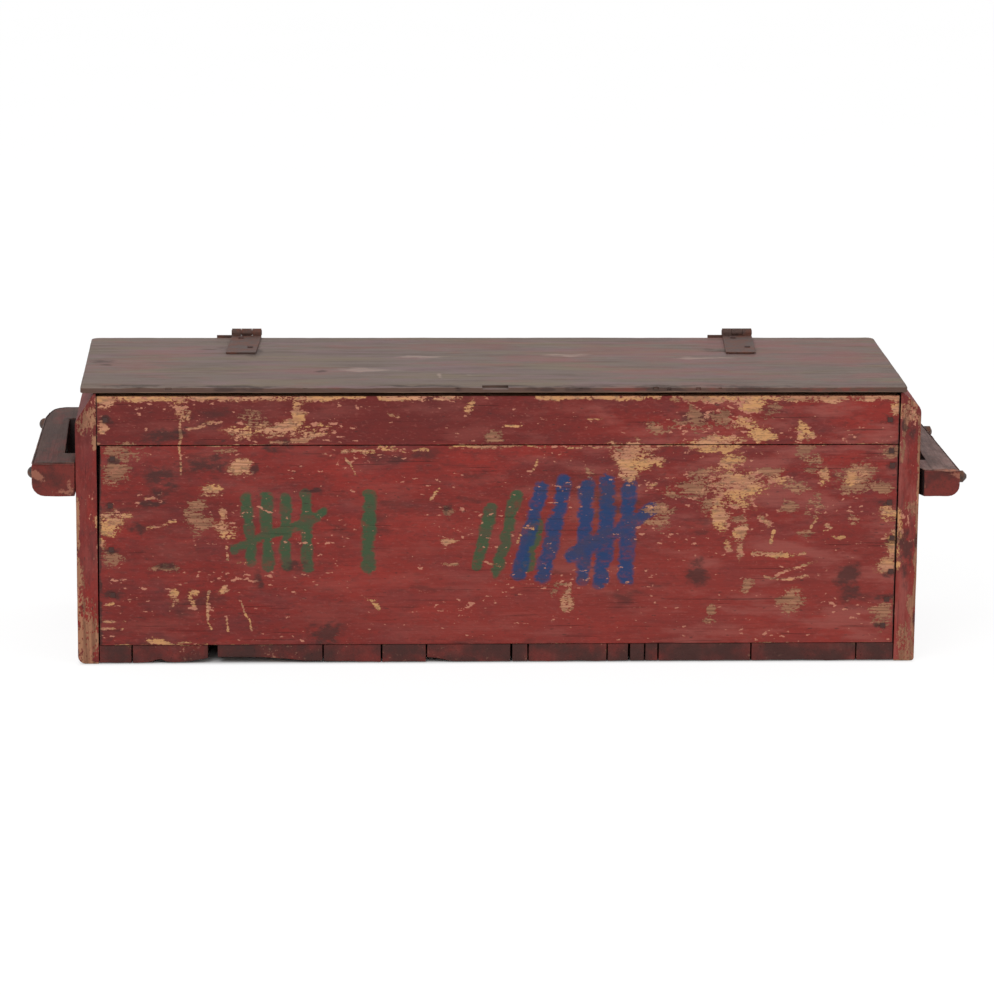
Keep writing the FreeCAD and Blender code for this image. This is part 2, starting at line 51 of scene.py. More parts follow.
squarely = 0.9  # a face points along an axis when its normal reaches this
ripple.seed_set(3)  # the same wear every time
print("frame loaded,", len(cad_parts), "nodes")


# modelling helpers
def nodeBox(node):
    low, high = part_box(node)
    return np.array(low) / mm, np.array(high) / mm


def pickNothing():
    if bpy.context.mode != "OBJECT":
        bpy.ops.object.mode_set(mode="OBJECT")
    bpy.ops.object.select_all(action="DESELECT")


def pickOnly(piece):
    pickNothing()
    piece.select_set(True)
    bpy.context.view_layer.objects.active = piece


def startBlock(name, low, high):
    pickNothing()
    middle = [(a + b) / 2 * mm for a, b in zip(low, high)]
    spans = [(b - a) * mm for a, b in zip(low, high)]
    bpy.ops.mesh.primitive_cube_add(size=1, location=middle, scale=spans)
    piece = bpy.context.active_object
    piece.name = piece.data.name = name
    bpy.ops.object.transform_apply(location=True, rotation=True, scale=True)
    return piece


def choose(piece, kind, wanted):
    # selects the corners, edges or faces that pass the test, and stays in edit mode
    bpy.context.view_layer.objects.active = piece
    bpy.ops.object.mode_set(mode="EDIT")
    bpy.ops.mesh.select_mode(type=kind)
    bpy.ops.mesh.select_all(action="DESELECT")
    mesh = bmesh.from_edit_mesh(piece.data)
    for part in {"VERT": mesh.verts, "EDGE": mesh.edges, "FACE": mesh.faces}[kind]:
        if wanted(part):
            part.select_set(True)
    bmesh.update_edit_mesh(piece.data)


def done():
    bpy.ops.object.mode_set(mode="OBJECT")


def middleOf(part):
    # of an edge or a face
    return sum((corner.co for corner in part.verts), Vector()) / len(part.verts) / mm


def near(value, wanted, within=0.1):
    return abs(value - wanted) < within


def runsAlong(edge, axis):
    run = edge.verts[1].co - edge.verts[0].co
    return run.length > 0 and abs(run[axis]) > 0.99 * run.length


def isSharp(edge):
    return edge.calc_face_angle(0) > sharpFrom


def sharpEdges(piece):
    # both ends of every sharp edge, kept from before the rounding for the wear along it
    mesh = bmesh.new()
    mesh.from_mesh(piece.data)
    ends = [[corner.co[:] for corner in edge.verts] for edge in mesh.edges if isSharp(edge)]
    mesh.free()
    return np.array(ends) / mm


def spanOf(piece, axis):
    spots = [corner.co[axis] for corner in piece.data.vertices]
    return min(spots), max(spots)


def cutBlock(piece, cell, mostCuts=100):
    # crosswise cuts along all three axes, no cell longer than given
    for axis in range(3):
        first, last = spanOf(piece, axis)
        parts = math.ceil((last - first) / mm / cell[axis])
        for count in [parts] if parts <= mostCuts else [math.ceil(parts / mostCuts), mostCuts]:
            if count > 1:
                choose(piece, "EDGE", lambda edge: runsAlong(edge, axis))
                bpy.ops.mesh.subdivide(number_cuts=count - 1)
    done()


def sliceAt(piece, axis, places):
    # flat cuts square to one axis
    normal = [0, 0, 0]
    normal[axis] = 1
    for place in places:
        choose(piece, "FACE", lambda face: True)
        point = [0, 0, 0]
        point[axis] = place * mm
        bpy.ops.mesh.bisect(plane_co=point, plane_no=normal)
    done()


def sliceEvenly(piece, cell):
    for axis in range(3):
        first, last = [spot / mm for spot in spanOf(piece, axis)]
        parts = math.ceil((last - first) / cell[axis])
        sliceAt(piece, axis, np.linspace(first, last, parts + 1)[1:-1])


def shiftCorners(piece, wanted, *move):
    choose(piece, "VERT", wanted)
    bpy.ops.transform.translate(value=[step * mm for step in move])
    done()


def roundEdges(piece, width, segments=2, wanted=isSharp):
    choose(piece, "EDGE", wanted)
    bpy.ops.mesh.bevel(offset=width * mm, segments=segments, affect="EDGES")
    done()


def applyAll(piece):
    pickOnly(piece)
    for modifier in list(piece.modifiers):
        bpy.ops.object.modifier_apply(modifier=modifier.name)


def carve(piece, cutter):
    modifier = piece.modifiers.new("carve", "BOOLEAN")
    modifier.operation = "DIFFERENCE"
    modifier.object = cutter
    modifier.solver = "EXACT"
    applyAll(piece)
    bpy.data.objects.remove(cutter)


def carveWedge(piece, low, high, tip, lean=0):
    # a notch from the front whose far end is narrower, by a share of its width, and leans aside
    wedge = startBlock("wedge", low, high)
    choose(wedge, "VERT", lambda corner: corner.co.y / mm > low[1] + clear)
    bpy.ops.transform.resize(value=(tip, 1, 1))
    if lean:
        bpy.ops.transform.translate(value=(lean * mm, 0, 0))
    done()
    carve(piece, wedge)


def weather(piece, depth, waves=(70, 14), shares=(0.7, 0.3)):
    # an uneven surface that only goes inwards, so that the piece keeps its place
    for wave, share in zip(waves, shares):
        texture = bpy.data.textures.new("weather", "CLOUDS")
        texture.noise_scale = wave * mm
        modifier = piece.modifiers.new("weather", "DISPLACE")
        modifier.texture = texture
        modifier.texture_coords = "LOCAL"
        modifier.mid_level = 1
        modifier.strength = depth * share * mm
    applyAll(piece)


def pushAlong(piece, axis, depth, wave, weights):
    # moves corners along one axis by their weight, unevenly where a wave length is given
    group = piece.vertex_groups.new(name="push")
    for corner in np.flatnonzero(weights > 0):
        group.add([int(corner)], float(weights[corner]), "REPLACE")
    modifier = piece.modifiers.new("push", "DISPLACE")
    if wave:
        modifier.texture = bpy.data.textures.new("push", "CLOUDS")
        modifier.texture.noise_scale = wave * mm
        modifier.texture_coords = "LOCAL"
    modifier.direction = axis
    modifier.mid_level = 0
    modifier.strength = depth * mm
    modifier.vertex_group = group.name
    applyAll(piece)
    piece.vertex_groups.remove(piece.vertex_groups["push"])


def finishPiece(piece, body, finish, node):
    pickOnly(piece)
    bpy.ops.object.shade_smooth_by_angle(angle=math.radians(smoothUpTo))
    piece.data.materials.clear()
    piece.data.materials.append(finish)
    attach(piece, body)
    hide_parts(node)


# wear helpers: numbers kept on the corners of a piece, read by its finish
def cornersOf(piece):
    places = np.empty(len(piece.data.vertices) * 3)
    piece.data.vertices.foreach_get("co", places)
    return places.reshape(-1, 3) / mm


def setShade(piece, name, values):
    shade = piece.data.attributes.new(name, "FLOAT", "POINT")
    shade.data.foreach_set("value", np.asarray(values, np.float32))


def wander(across, up, waves):
    # shifts places unevenly, so that spots and strokes lose their smooth outlines
    for wave, reach in waves:
        shift = [ripple.noise_vector((x / wave, z / wave, reach))[:] for x, z in zip(across, up)]
        shift = reach * np.array(shift)
        across, up = across + shift[:, 0], up + shift[:, 1]
    return across, up


def spotField(across, up, spots, waves=((30, 8), (9, 4))):
    # 1 in the middle of a spot, 0.5 at its edge
    across, up = wander(across, up, waves)
    field = np.zeros(len(across))
    for x, z, halfWidth, halfHeight in spots:
        away = np.hypot((across - x) / halfWidth, (up - z) / halfHeight)
        field = np.maximum(field, 1 - away / 2)
    return field


def strokeField(across, up, strokes, waves=((14, 2.5),)):
    # the same for strokes, from their first to their second end, with half their width
    across, up = wander(across, up, waves)
    field = np.zeros(len(across))
    for x1, z1, x2, z2, half in strokes:
        run = np.array((x2 - x1, z2 - z1), float)
        share = ((across - x1) * run[0] + (up - z1) * run[1]) / max(run @ run, 1e-9)
        share = np.clip(share, 0, 1)
        away = np.hypot(across - x1 - share * run[0], up - z1 - share * run[1]) / half
        field = np.maximum(field, 1 - away / 2)
    return field


def scatter(seed, count, low, high, smallest, largest, fewLarge=4):
    # spots strewn over a face, wider than high, most of them small
    dice = np.random.default_rng(seed)
    spots = []
    for _ in range(count):
        size = smallest + (largest - smallest) * dice.random() ** fewLarge
        place = dice.uniform(low, high)
        spots.append((*place, size * dice.uniform(0.9, 1.9), size * dice.uniform(0.5, 1)))
    return spots


def setGrain(piece, order, seed):
    # the wood's own directions: along the fibres, across them, and through the plank
    places = cornersOf(piece)
    middle = (places.min(axis=0) + places.max(axis=0)) / 2
    dice = np.random.default_rng(seed)
    heart = (dice.uniform(500, 4000), dice.uniform(-40, 40), dice.uniform(45, 90))  # of the tree
    grain = ((places - middle)[:, order] + heart) * mm
    layer = piece.data.attributes.new("grain", "FLOAT_VECTOR", "POINT")
    layer.data.foreach_set("vector", grain.astype(np.float32).ravel())


def setEdge(piece, ends, farthest=1000.0):
    # millimetres from each corner to the nearest sharp edge
    places = cornersOf(piece)
    nearest = np.full(len(places), farthest)
    for first, second in ends:
        run = second - first
        share = np.clip((places - first) @ run / (run @ run), 0, 1)
        away = np.linalg.norm(places - first - share[:, None] * run, axis=1)
        nearest = np.minimum(nearest, away)
    setShade(piece, "edge", nearest)


# finish helpers
def tone(red, green, blue):
    # a colour from 0 to 255, as it looks on a screen
    parts = [c / 255 for c in (red, green, blue)]
    return (*[c / 12.92 if c <= 0.04045 else ((c + 0.055) / 1.055) ** 2.4 for c in parts], 1)


bench = {}  # holds the node tree that the next nodes go into


def openTree(owner):
    # starts the nodes of a material or the world
    owner.use_nodes = True
    bench["tree"] = owner.node_tree
    bench["tree"].nodes.clear()
    return owner


def addNode(kind, feeds=(), **settings):
    node = bench["tree"].nodes.new("ShaderNode" + kind)
    for word, choice in settings.items():
        setattr(node, word, choice)
    for socket, feed in dict(feeds).items():
        if isinstance(feed, bpy.types.NodeSocket):
            bench["tree"].links.new(feed, node.inputs[socket])
        else:
            node.inputs[socket].default_value = feed
    return node


def reckon(operation, *terms):
    return addNode("Math", enumerate(terms), operation=operation).outputs[0]


def times(value, amount):
    return reckon("MULTIPLY", value, amount)


def plus(value, amount):
    return reckon("ADD", value, amount)


def timesPlus(value, amount, more):
    return reckon("MULTIPLY_ADD", value, amount, more)


def larger(value, other):
    return reckon("MAXIMUM", value, other)


def without(value):
    return reckon("SUBTRACT", 1.0, value)


def ease(value, start, end):
    # 0 up to start, 1 from end, smooth in between
    feeds = {0: value, 1: start, 2: end, 3: 0.0, 4: 1.0}
    return addNode("MapRange", feeds, interpolation_type="SMOOTHSTEP").outputs[0]


def over(share, under, top, amount=None):
    # one colour over another, each a socket or three numbers from 0 to 255
    under, top = [tone(*colour) if isinstance(colour, tuple) else colour for colour in (under, top)]
    share = share if amount is None else times(share, amount)
    return addNode("Mix", {0: share, 6: under, 7: top}, data_type="RGBA").outputs[2]


def shade(name, part="Fac"):
    return addNode("Attribute", attribute_name=name).outputs[part]


def axisOf(axis, kind="Object"):
    # the place of the surface along one axis, or its direction with kind Normal
    return addNode("SeparateXYZ", {0: addNode("TexCoord").outputs[kind]}).outputs[axis]


def noise(where, stretch=(1, 1, 1), scale=1.0, detail=3, roughness=0.55, shift=(0, 0, 0)):
    # on grain, stretch counts the flakes in a metre: along the fibres, across and through
    moved = addNode("Mapping", {"Vector": where, "Location": shift, "Scale": stretch}).outputs[0]
    feeds = {"Vector": moved, "Scale": scale, "Detail": detail, "Roughness": roughness}
    return addNode("TexNoise", feeds).outputs[0]


def addLayers(grain, film, look, layers):
    # a layer: its colour's name, stretch, where it starts and is full, share, shift, detail, roughness
    for word, stretch, start, end, share, shift, *rest in layers:
        detail, roughness = (*rest, *(4, 0.62)[len(rest):])
        cloud = noise(grain, stretch, detail=detail, roughness=roughness, shift=shift)
        film = over(ease(cloud, start, end), film, look[word], share)
    return film


def stirring(grain, fine, coarse, shift):
    # two noises together, -1 to 1, coarser and finer flakes drawn out along the grain
    large = noise(grain, coarse, detail=2, shift=shift)
    small = noise(grain, fine, detail=5, roughness=0.7, shift=shift)
    return timesPlus(plus(large, small), 2.4, -2.4)


def raggedMask(field, stir, amount=1.0, edge=0.06):
    # the field's outline at 0.5, broken up by the stirring, and left alone far outside it
    reach = times(timesPlus(field, 0.75, 0.12), amount)
    stirred = timesPlus(stir, reach, field)
    return ease(stirred, 0.5 - edge, 0.5 + edge)


def byEdges(reach):
    # 1 on a sharp edge, 0 at its reach in millimetres, and lower beyond
    return without(reckon("DIVIDE", shade("edge"), reach))


def woodTones(grain, look):
    # growth rings, darker lines and fibres, returns colour and relief
    rings = addNode("Mapping", {"Vector": grain, "Scale": (0.12, 1, 1)}).outputs[0]
    feeds = {"Vector": rings, "Scale": look["ringScale"], "Distortion": 14.0, "Detail": 3.0,
             "Detail Scale": 0.2, "Detail Roughness": 0.6}
    ring = addNode("TexWave", feeds, wave_type="RINGS", rings_direction="X").outputs[1]
    late = ease(ring, 0.6, 1.0)
    lines = ease(noise(grain, (5, 300, 300), detail=4, roughness=0.6), 0.46, 0.66)
    fibre = noise(grain, (26, 900, 900), detail=2)
    cloud = ease(noise(grain, (7, 30, 30), detail=4), 0.42, 0.64)
    wood = look["early"]
    for mask, share, word in ((late, look["ringStrength"], "late"), (cloud, 0.7, "stain"),
                              (lines, 0.6, "late"), (ease(fibre, 0.5, 0.75), 0.4, "late")):
        wood = over(mask, wood, look[word], share)
    relief = timesPlus(late, -0.25, timesPlus(lines, -0.5, fibre))
    return wood, relief


def closeFinish(colour, roughness, height, distance, metallic=0.0, specular=0.2):
    bump = addNode("Bump", {"Height": height, "Strength": 1.0, "Distance": distance})
    feeds = {"Base Color": colour, "Roughness": roughness, "Metallic": metallic,
             "Specular IOR Level": specular, "Normal": bump.outputs[0]}
    surface = addNode("BsdfPrincipled", feeds)
    addNode("OutputMaterial", {"Surface": surface.outputs[0]})


# worn red paint over pine, for the boards, end planks and bottom planks
redPaint = {
    "red": (126, 43, 38),
    "bright": (146, 48, 41),
    "warm": (146, 58, 50),
    "maroon": (92, 36, 34),
    "plum": (102, 50, 50),
    "pink": (150, 82, 74),
    "undercoat": (142, 76, 54),
    # grime, also used for the painted shade in the joints and behind the hollows
    "grime": (58, 40, 37),
    "crack": (44, 28, 26),
    "speck": (192, 130, 106),
    "remains": (156, 84, 72),
    "gold": (200, 148, 96),
    "dull": (122, 94, 74),
    "green": (54, 80, 54),
    "thinGreen": (74, 72, 54),
    "blue": (27, 59, 101),
    "thinBlue": (54, 58, 84),
    "fresh": {"early": (200, 144, 112), "late": (140, 96, 68), "stain": (176, 118, 94),
              "ringScale": 90.0, "ringStrength": 0.6},
    "aged": {"early": (170, 124, 94), "late": (108, 76, 58), "stain": (138, 98, 76),
             "ringScale": 90.0, "ringStrength": 0.7},
    "layers": [("maroon", (6, 12, 12), 0.44, 0.62, 0.4, (0, 0, 0)),
               ("plum", (14, 36, 36), 0.46, 0.66, 0.5, (4, 1, 9)),
               ("bright", (7, 20, 20), 0.5, 0.66, 0.6, (5, 2, 1)),
               ("maroon", (40, 110, 110), 0.5, 0.68, 0.35, (1, 7, 3)),
               ("grime", (120, 260, 260), 0.5, 0.66, 0.3, (3, 7, 7))],
    "laterLayers": [("grime", (9, 26, 26), 0.58, 0.7, 0.55, (9, 4, 2)),
                    ("pink", (180, 420, 420), 0.56, 0.72, 0.3, (6, 6, 1), 2)],
    "bareLayers": [("gold", (14, 36, 36), 0.42, 0.58, 0.75, (6, 3, 3), 4, 0.65),
                   ("dull", (90, 240, 240), 0.5, 0.64, 0.7, (1, 6, 9), 4, 0.7)],
    "rightSide": (-0.1, 0.3),  # metres, where each of these starts and is full
    "upperBoard": (0.268, 0.274),
    "towardsFoot": (0.24, 0.08),
    "pastLeft": (-0.35, 0.0),
    "darkUpper": 0.62,
    "warmLower": 0.4,
    "chips": (0.617, 0.657),  # lower numbers give more of them
    "edgeWear": 2.4,
    "bump": 0.0006,
}


def makeRedPaint(name, look, dirt=0.0):
    finish = openTree(bpy.data.materials.new(name))
    across, up = axisOf(0), axisOf(2)
    grain = shade("grain", "Vector")
    fresh = woodTones(grain, look["fresh"])[0]
    aged, agedRelief = woodTones(grain, look["aged"])
    flakes = stirring(grain, (130, 330, 330), (34, 80, 80), (7, 2, 4))
    thread = noise(grain, (50, 640, 640), detail=3, shift=(5, 5, 3))
    crumb = noise(grain, (260, 380, 380), detail=3, roughness=0.7, shift=(8, 5, 2))
    flakes = plus(flakes, timesPlus(thread, 1.0, -0.5))
    flakes = plus(flakes, timesPlus(crumb, 2.6, -1.3))
    broken = noise(grain, (9, 34, 34), detail=3, shift=(3, 1, 7))

    # the paint film: blotches, brighter, duller and paler parts, streaks along the grain
    film = addLayers(grain, look["red"], look, look["layers"])
    side = ease(across, *look["rightSide"])
    upper = times(ease(up, *look["upperBoard"]), without(side))
    film = over(upper, film, look["maroon"], look["darkUpper"])
    lower = times(ease(up, *look["towardsFoot"]), ease(across, *look["pastLeft"]))
    film = over(lower, film, look["warm"], look["warmLower"])
    paler = noise(grain, (12, 44, 44), detail=4, roughness=0.62, shift=(1, 8, 4))
    paler = times(ease(paler, 0.46, 0.68), timesPlus(side, 0.4, 0.25))
    film = over(paler, film, look["pink"])
    streak = noise(grain, (10, 260, 260), detail=4, roughness=0.65, shift=(2, 2, 2))
    film = over(ease(streak, 0.48, 0.7), film, look["maroon"], 0.25)
    film = addLayers(grain, film, look, look["laterLayers"])

    # brush marks, the paint below shows through where the brush ran dry
    dry = stirring(grain, (120, 220, 220), (40, 70, 70), (4, 4, 9))
    wet = noise(grain, (26, 40, 40), detail=4, roughness=0.65, shift=(9, 1, 5))
    for mark in ("green", "blue"):
        mask = raggedMask(shade(mark + "Mark"), dry, 0.6, 0.13)
        mask = times(mask, without(times(ease(dry, 0.0, 0.9), 0.6)))
        thin = look["thin" + mark.capitalize()]
        paint = over(ease(wet, 0.44, 0.64), look[mark], thin, 0.75)
        film = over(mask, film, paint, 0.94)

    # wear: listed spots, small chips that crowd round them, and the sharp edges
    bareField = shade("bare")
    bare = raggedMask(bareField, flakes, 1.2)
    old = raggedMask(shade("faded"), flakes, 1.4, 0.1)
    crowd = timesPlus(bareField, 0.2, timesPlus(broken, 0.5, -0.3))
    chip = noise(grain, (100, 200, 200), detail=3, roughness=0.6, shift=(7, 7, 7))
    chips = ease(plus(chip, crowd), *look["chips"])
    worn = timesPlus(byEdges(look["edgeWear"]), 0.5, timesPlus(broken, 2.0, -1.12))
    corner = raggedMask(worn, flakes, 0.8)
    painted = raggedMask(shade("paint"), flakes, 0.4)

    # the wood where the paint is gone: fresh where it chipped off, grey where it was rubbed
    fresh = addLayers(grain, fresh, look, look["bareLayers"])
    mottle = noise(grain, (90, 240, 240), detail=4, roughness=0.7, shift=(1, 6, 9))
    aged = over(ease(mottle, 0.48, 0.36), aged, look["fresh"]["stain"], 0.6)
    remains = times(ease(flakes, -0.1, -0.5), 0.6)
    fresh = over(remains, fresh, look["remains"])
    wood = over(larger(bare, times(corner, 0.6)), aged, fresh)
    lost = larger(larger(bare, corner), times(old, 0.85))
    rim = raggedMask(plus(bareField, 0.12), flakes, 1.0, 0.1)
    film = over(rim, film, look["undercoat"], 0.5)
    film = over(chips, film, look["speck"], 0.8)
    kept = times(painted, without(lost))
    colour = over(kept, wood, film)

    # dirt and painted shade: listed smears, pits, painted shade in the joints and behind the hollows, and
    # short dark cracks along the grain
    dark = times(raggedMask(shade("grime"), dry, 1.2, 0.3), 0.75)
    pit = noise(grain, (90, 300, 300), detail=2, shift=(3, 9, 5))
    dark = larger(dark, times(ease(pit, 0.67, 0.74), 0.6))
    # painted shade in the joint gaps and behind the handles' hollows, in the grime colour
    dark = larger(dark, shade("sootAndPaintedShade"))
    if dirt:
        sootAndPaintedShade = noise(addNode("TexCoord").outputs["Object"], scale=24.0, detail=4)
        dark = larger(dark, times(ease(sootAndPaintedShade, 0.12, 0.62), dirt))
    colour = over(dark, colour, look["grime"])
    crack = noise(grain, (9, 520, 520), detail=2, roughness=0.4, shift=(2, 4, 8))
    crack = ease(crack, 0.7, 0.76)
    colour = over(crack, colour, look["crack"], 0.45)

    relief = timesPlus(agedRelief, 0.3, times(kept, 0.45))
    relief = timesPlus(crack, -0.8, timesPlus(streak, 0.3, relief))
    closeFinish(colour, timesPlus(kept, -0.15, 0.85), relief, look["bump"])
    return finish


paintedWood = makeRedPaint("paintedWood", redPaint)
bottomWood = makeRedPaint("bottomWood", redPaint, dirt=0.9)

# the lid's grey-brown, rubbed thin along the grain, with remains of red
lidLook = {
    "ground": (112, 96, 88),
    "olive": (116, 100, 82),
    "brown": (92, 74, 66),
    "red": (134, 84, 80),
    "plum": (122, 96, 98),
    "dark": (58, 42, 38),
    "pale": (170, 148, 138),
    "rim": (90, 66, 57),
    "redRim": (112, 62, 54),
    "wood": {"early": (134, 108, 90), "late": (84, 62, 52), "stain": (104, 82, 70),
             "ringScale": 100.0, "ringStrength": 0.6},
    "layers": [("olive", (5, 26, 26), 0.46, 0.62, 0.8, (0, 0, 5)),
               ("plum", (7, 34, 34), 0.46, 0.64, 0.7, (1, 2, 5)),
               ("brown", (9, 90, 90), 0.48, 0.66, 0.6, (2, 4, 5)),
               ("dark", (10, 330, 330), 0.54, 0.72, 0.5, (3, 6, 5)),
               ("pale", (16, 520, 520), 0.58, 0.78, 0.45, (4, 8, 5))],
    "rightSide": (-0.15, 0.3),
    "edgeWear": 4.0,
    "bump": 0.0005,
}


def makeLidWood(name, look):
    finish = openTree(bpy.data.materials.new(name))
    grain = shade("grain", "Vector")
    wood, relief = woodTones(grain, look["wood"])
    flakes = stirring(grain, (60, 330, 330), (16, 70, 70), (1, 5, 3))
    side = ease(axisOf(0), *look["rightSide"])
    film = addLayers(grain, look["ground"], look, look["layers"])
    rosy = noise(grain, (8, 26, 26), detail=5, roughness=0.7, shift=(4, 2, 8))
    rosy = ease(timesPlus(side, 0.07, rosy), 0.54, 0.68)
    film = over(rosy, film, look["red"], 0.45)
    corner = raggedMask(byEdges(look["edgeWear"]), flakes, 1.0, 0.3)
    film = over(corner, film, look["dark"], 0.35)
    rim = over(ease(rosy, 0.2, 0.9), look["rim"], look["redRim"])
    rim = over(ease(flakes, 0.0, 0.5), rim, look["brown"], 0.6)
    film = over(ease(axisOf(2, "Normal"), 0.8, 0.3), film, rim)
    colour = over(raggedMask(shade("paint"), flakes, 0.4), wood, film)
    for spots, amount, edge, share, word in (("faded", 1.6, 0.3, 0.4, "red"),
                                             ("grime", 1.4, 0.25, 0.7, "dark"),
                                             ("bare", 1.6, 0.3, 0.5, "pale")):
        mask = raggedMask(shade(spots), flakes, amount, edge)
        colour = over(mask, colour, look[word], share)
    closeFinish(colour, timesPlus(flakes, 0.06, 0.62), relief, look["bump"])
    return finish


lidWood = makeLidWood("lidWood", lidLook)

# handles: dark red, browned by hands on top
handleLook = {
    "red": (112, 46, 40),
    "brown": (66, 44, 38),
    "grey": (84, 61, 54),
    "dark": (54, 38, 35),
    "pale": (158, 130, 124),
    "bare": (160, 104, 84),
    "shadow": (30, 16, 15),
    "rightSide": (0.0, 0.3),
    "edgeWear": 3.5,
    "bump": 0.0008,
}


def makeHandleWood(name, look):
    finish = openTree(bpy.data.materials.new(name))
    grain = shade("grain", "Vector")
    flakes = stirring(grain, (90, 330, 330), (24, 80, 80), (1, 5, 3))
    broad = noise(grain, (12, 40, 40), detail=4)
    streak = noise(grain, (12, 330, 330), detail=4, roughness=0.6, shift=(2, 5, 1))
    colour = over(ease(broad, 0.42, 0.68), look["red"], look["dark"], 0.6)

    # the top, which is paler on the right handle
    top = over(ease(broad, 0.4, 0.65), look["brown"], look["grey"], 0.9)
    top = addLayers(grain, top, look, [("red", (14, 30, 30), 0.5, 0.68, 0.6, (7, 3, 3), 4, 0.65)])
    right = ease(axisOf(0), *look["rightSide"])
    paler = noise(grain, (20, 60, 60), detail=5, roughness=0.7, shift=(2, 8, 3))
    paler = timesPlus(ease(paler, 0.34, 0.68), 0.6, 0.3)
    top = over(paler, top, look["pale"], timesPlus(right, 0.68, 0.08))
    rubbed = ease(timesPlus(flakes, 0.15, axisOf(2, "Normal")), 0.3, 0.75)
    colour = over(rubbed, colour, top)

    # streaks, worn edges and spots, and painted shade in the hollow and the gap
    colour = over(ease(streak, 0.5, 0.7), colour, look["dark"], 0.45)
    worn = timesPlus(byEdges(look["edgeWear"]), 0.6, timesPlus(broad, 1.2, -0.62))
    for field, amount, edge, share in ((worn, 1.0, 0.2, 0.5), (shade("bare"), 1.2, 0.15, 0.7)):
        mask = raggedMask(field, flakes, amount, edge)
        colour = over(mask, colour, look["bare"], share)
    colour = over(shade("sootAndPaintedShade"), colour, look["shadow"])
    relief = timesPlus(streak, 0.6, times(flakes, 0.1))
    closeFinish(colour, timesPlus(broad, 0.2, 0.6), relief, look["bump"])
    return finish


handleWood = makeHandleWood("handleWood", handleLook)

# iron, browned and pitted
ironLooks = {
    "hingeIron": {"base": (77, 55, 48), "rust": (98, 58, 45), "dark": (52, 38, 34), "scale": 160.0,
                  "gloss": 0.62},
    "boltIron": {"base": (66, 56, 54), "rust": (104, 66, 46), "dark": (40, 34, 33), "scale": 300.0,
                 "gloss": 0.55},
    "nailIron": {"base": (66, 42, 38), "rust": (76, 42, 35), "dark": (40, 26, 24), "scale": 420.0,
                 "gloss": 0.65},
}


def makeIron(name, look):
    finish = openTree(bpy.data.materials.new(name))
    place = addNode("TexCoord").outputs["Object"]
    cloud = noise(place, scale=look["scale"] * 0.35, detail=5, roughness=0.65)
    pits = noise(place, scale=look["scale"] * 3, detail=3, roughness=0.6, shift=(1, 1, 1))
    colour = over(ease(cloud, 0.4, 0.62), look["base"], look["rust"])
    colour = over(ease(pits, 0.52, 0.7), colour, look["dark"], 0.8)
    roughness = timesPlus(cloud, 0.3, look["gloss"] - 0.1)
    closeFinish(colour, roughness, timesPlus(pits, -0.6, cloud), 0.0006, metallic=0.35, specular=0.5)
    return finish


irons = {name: makeIron(name, look) for name, look in ironLooks.items()}
print("finishes mixed")
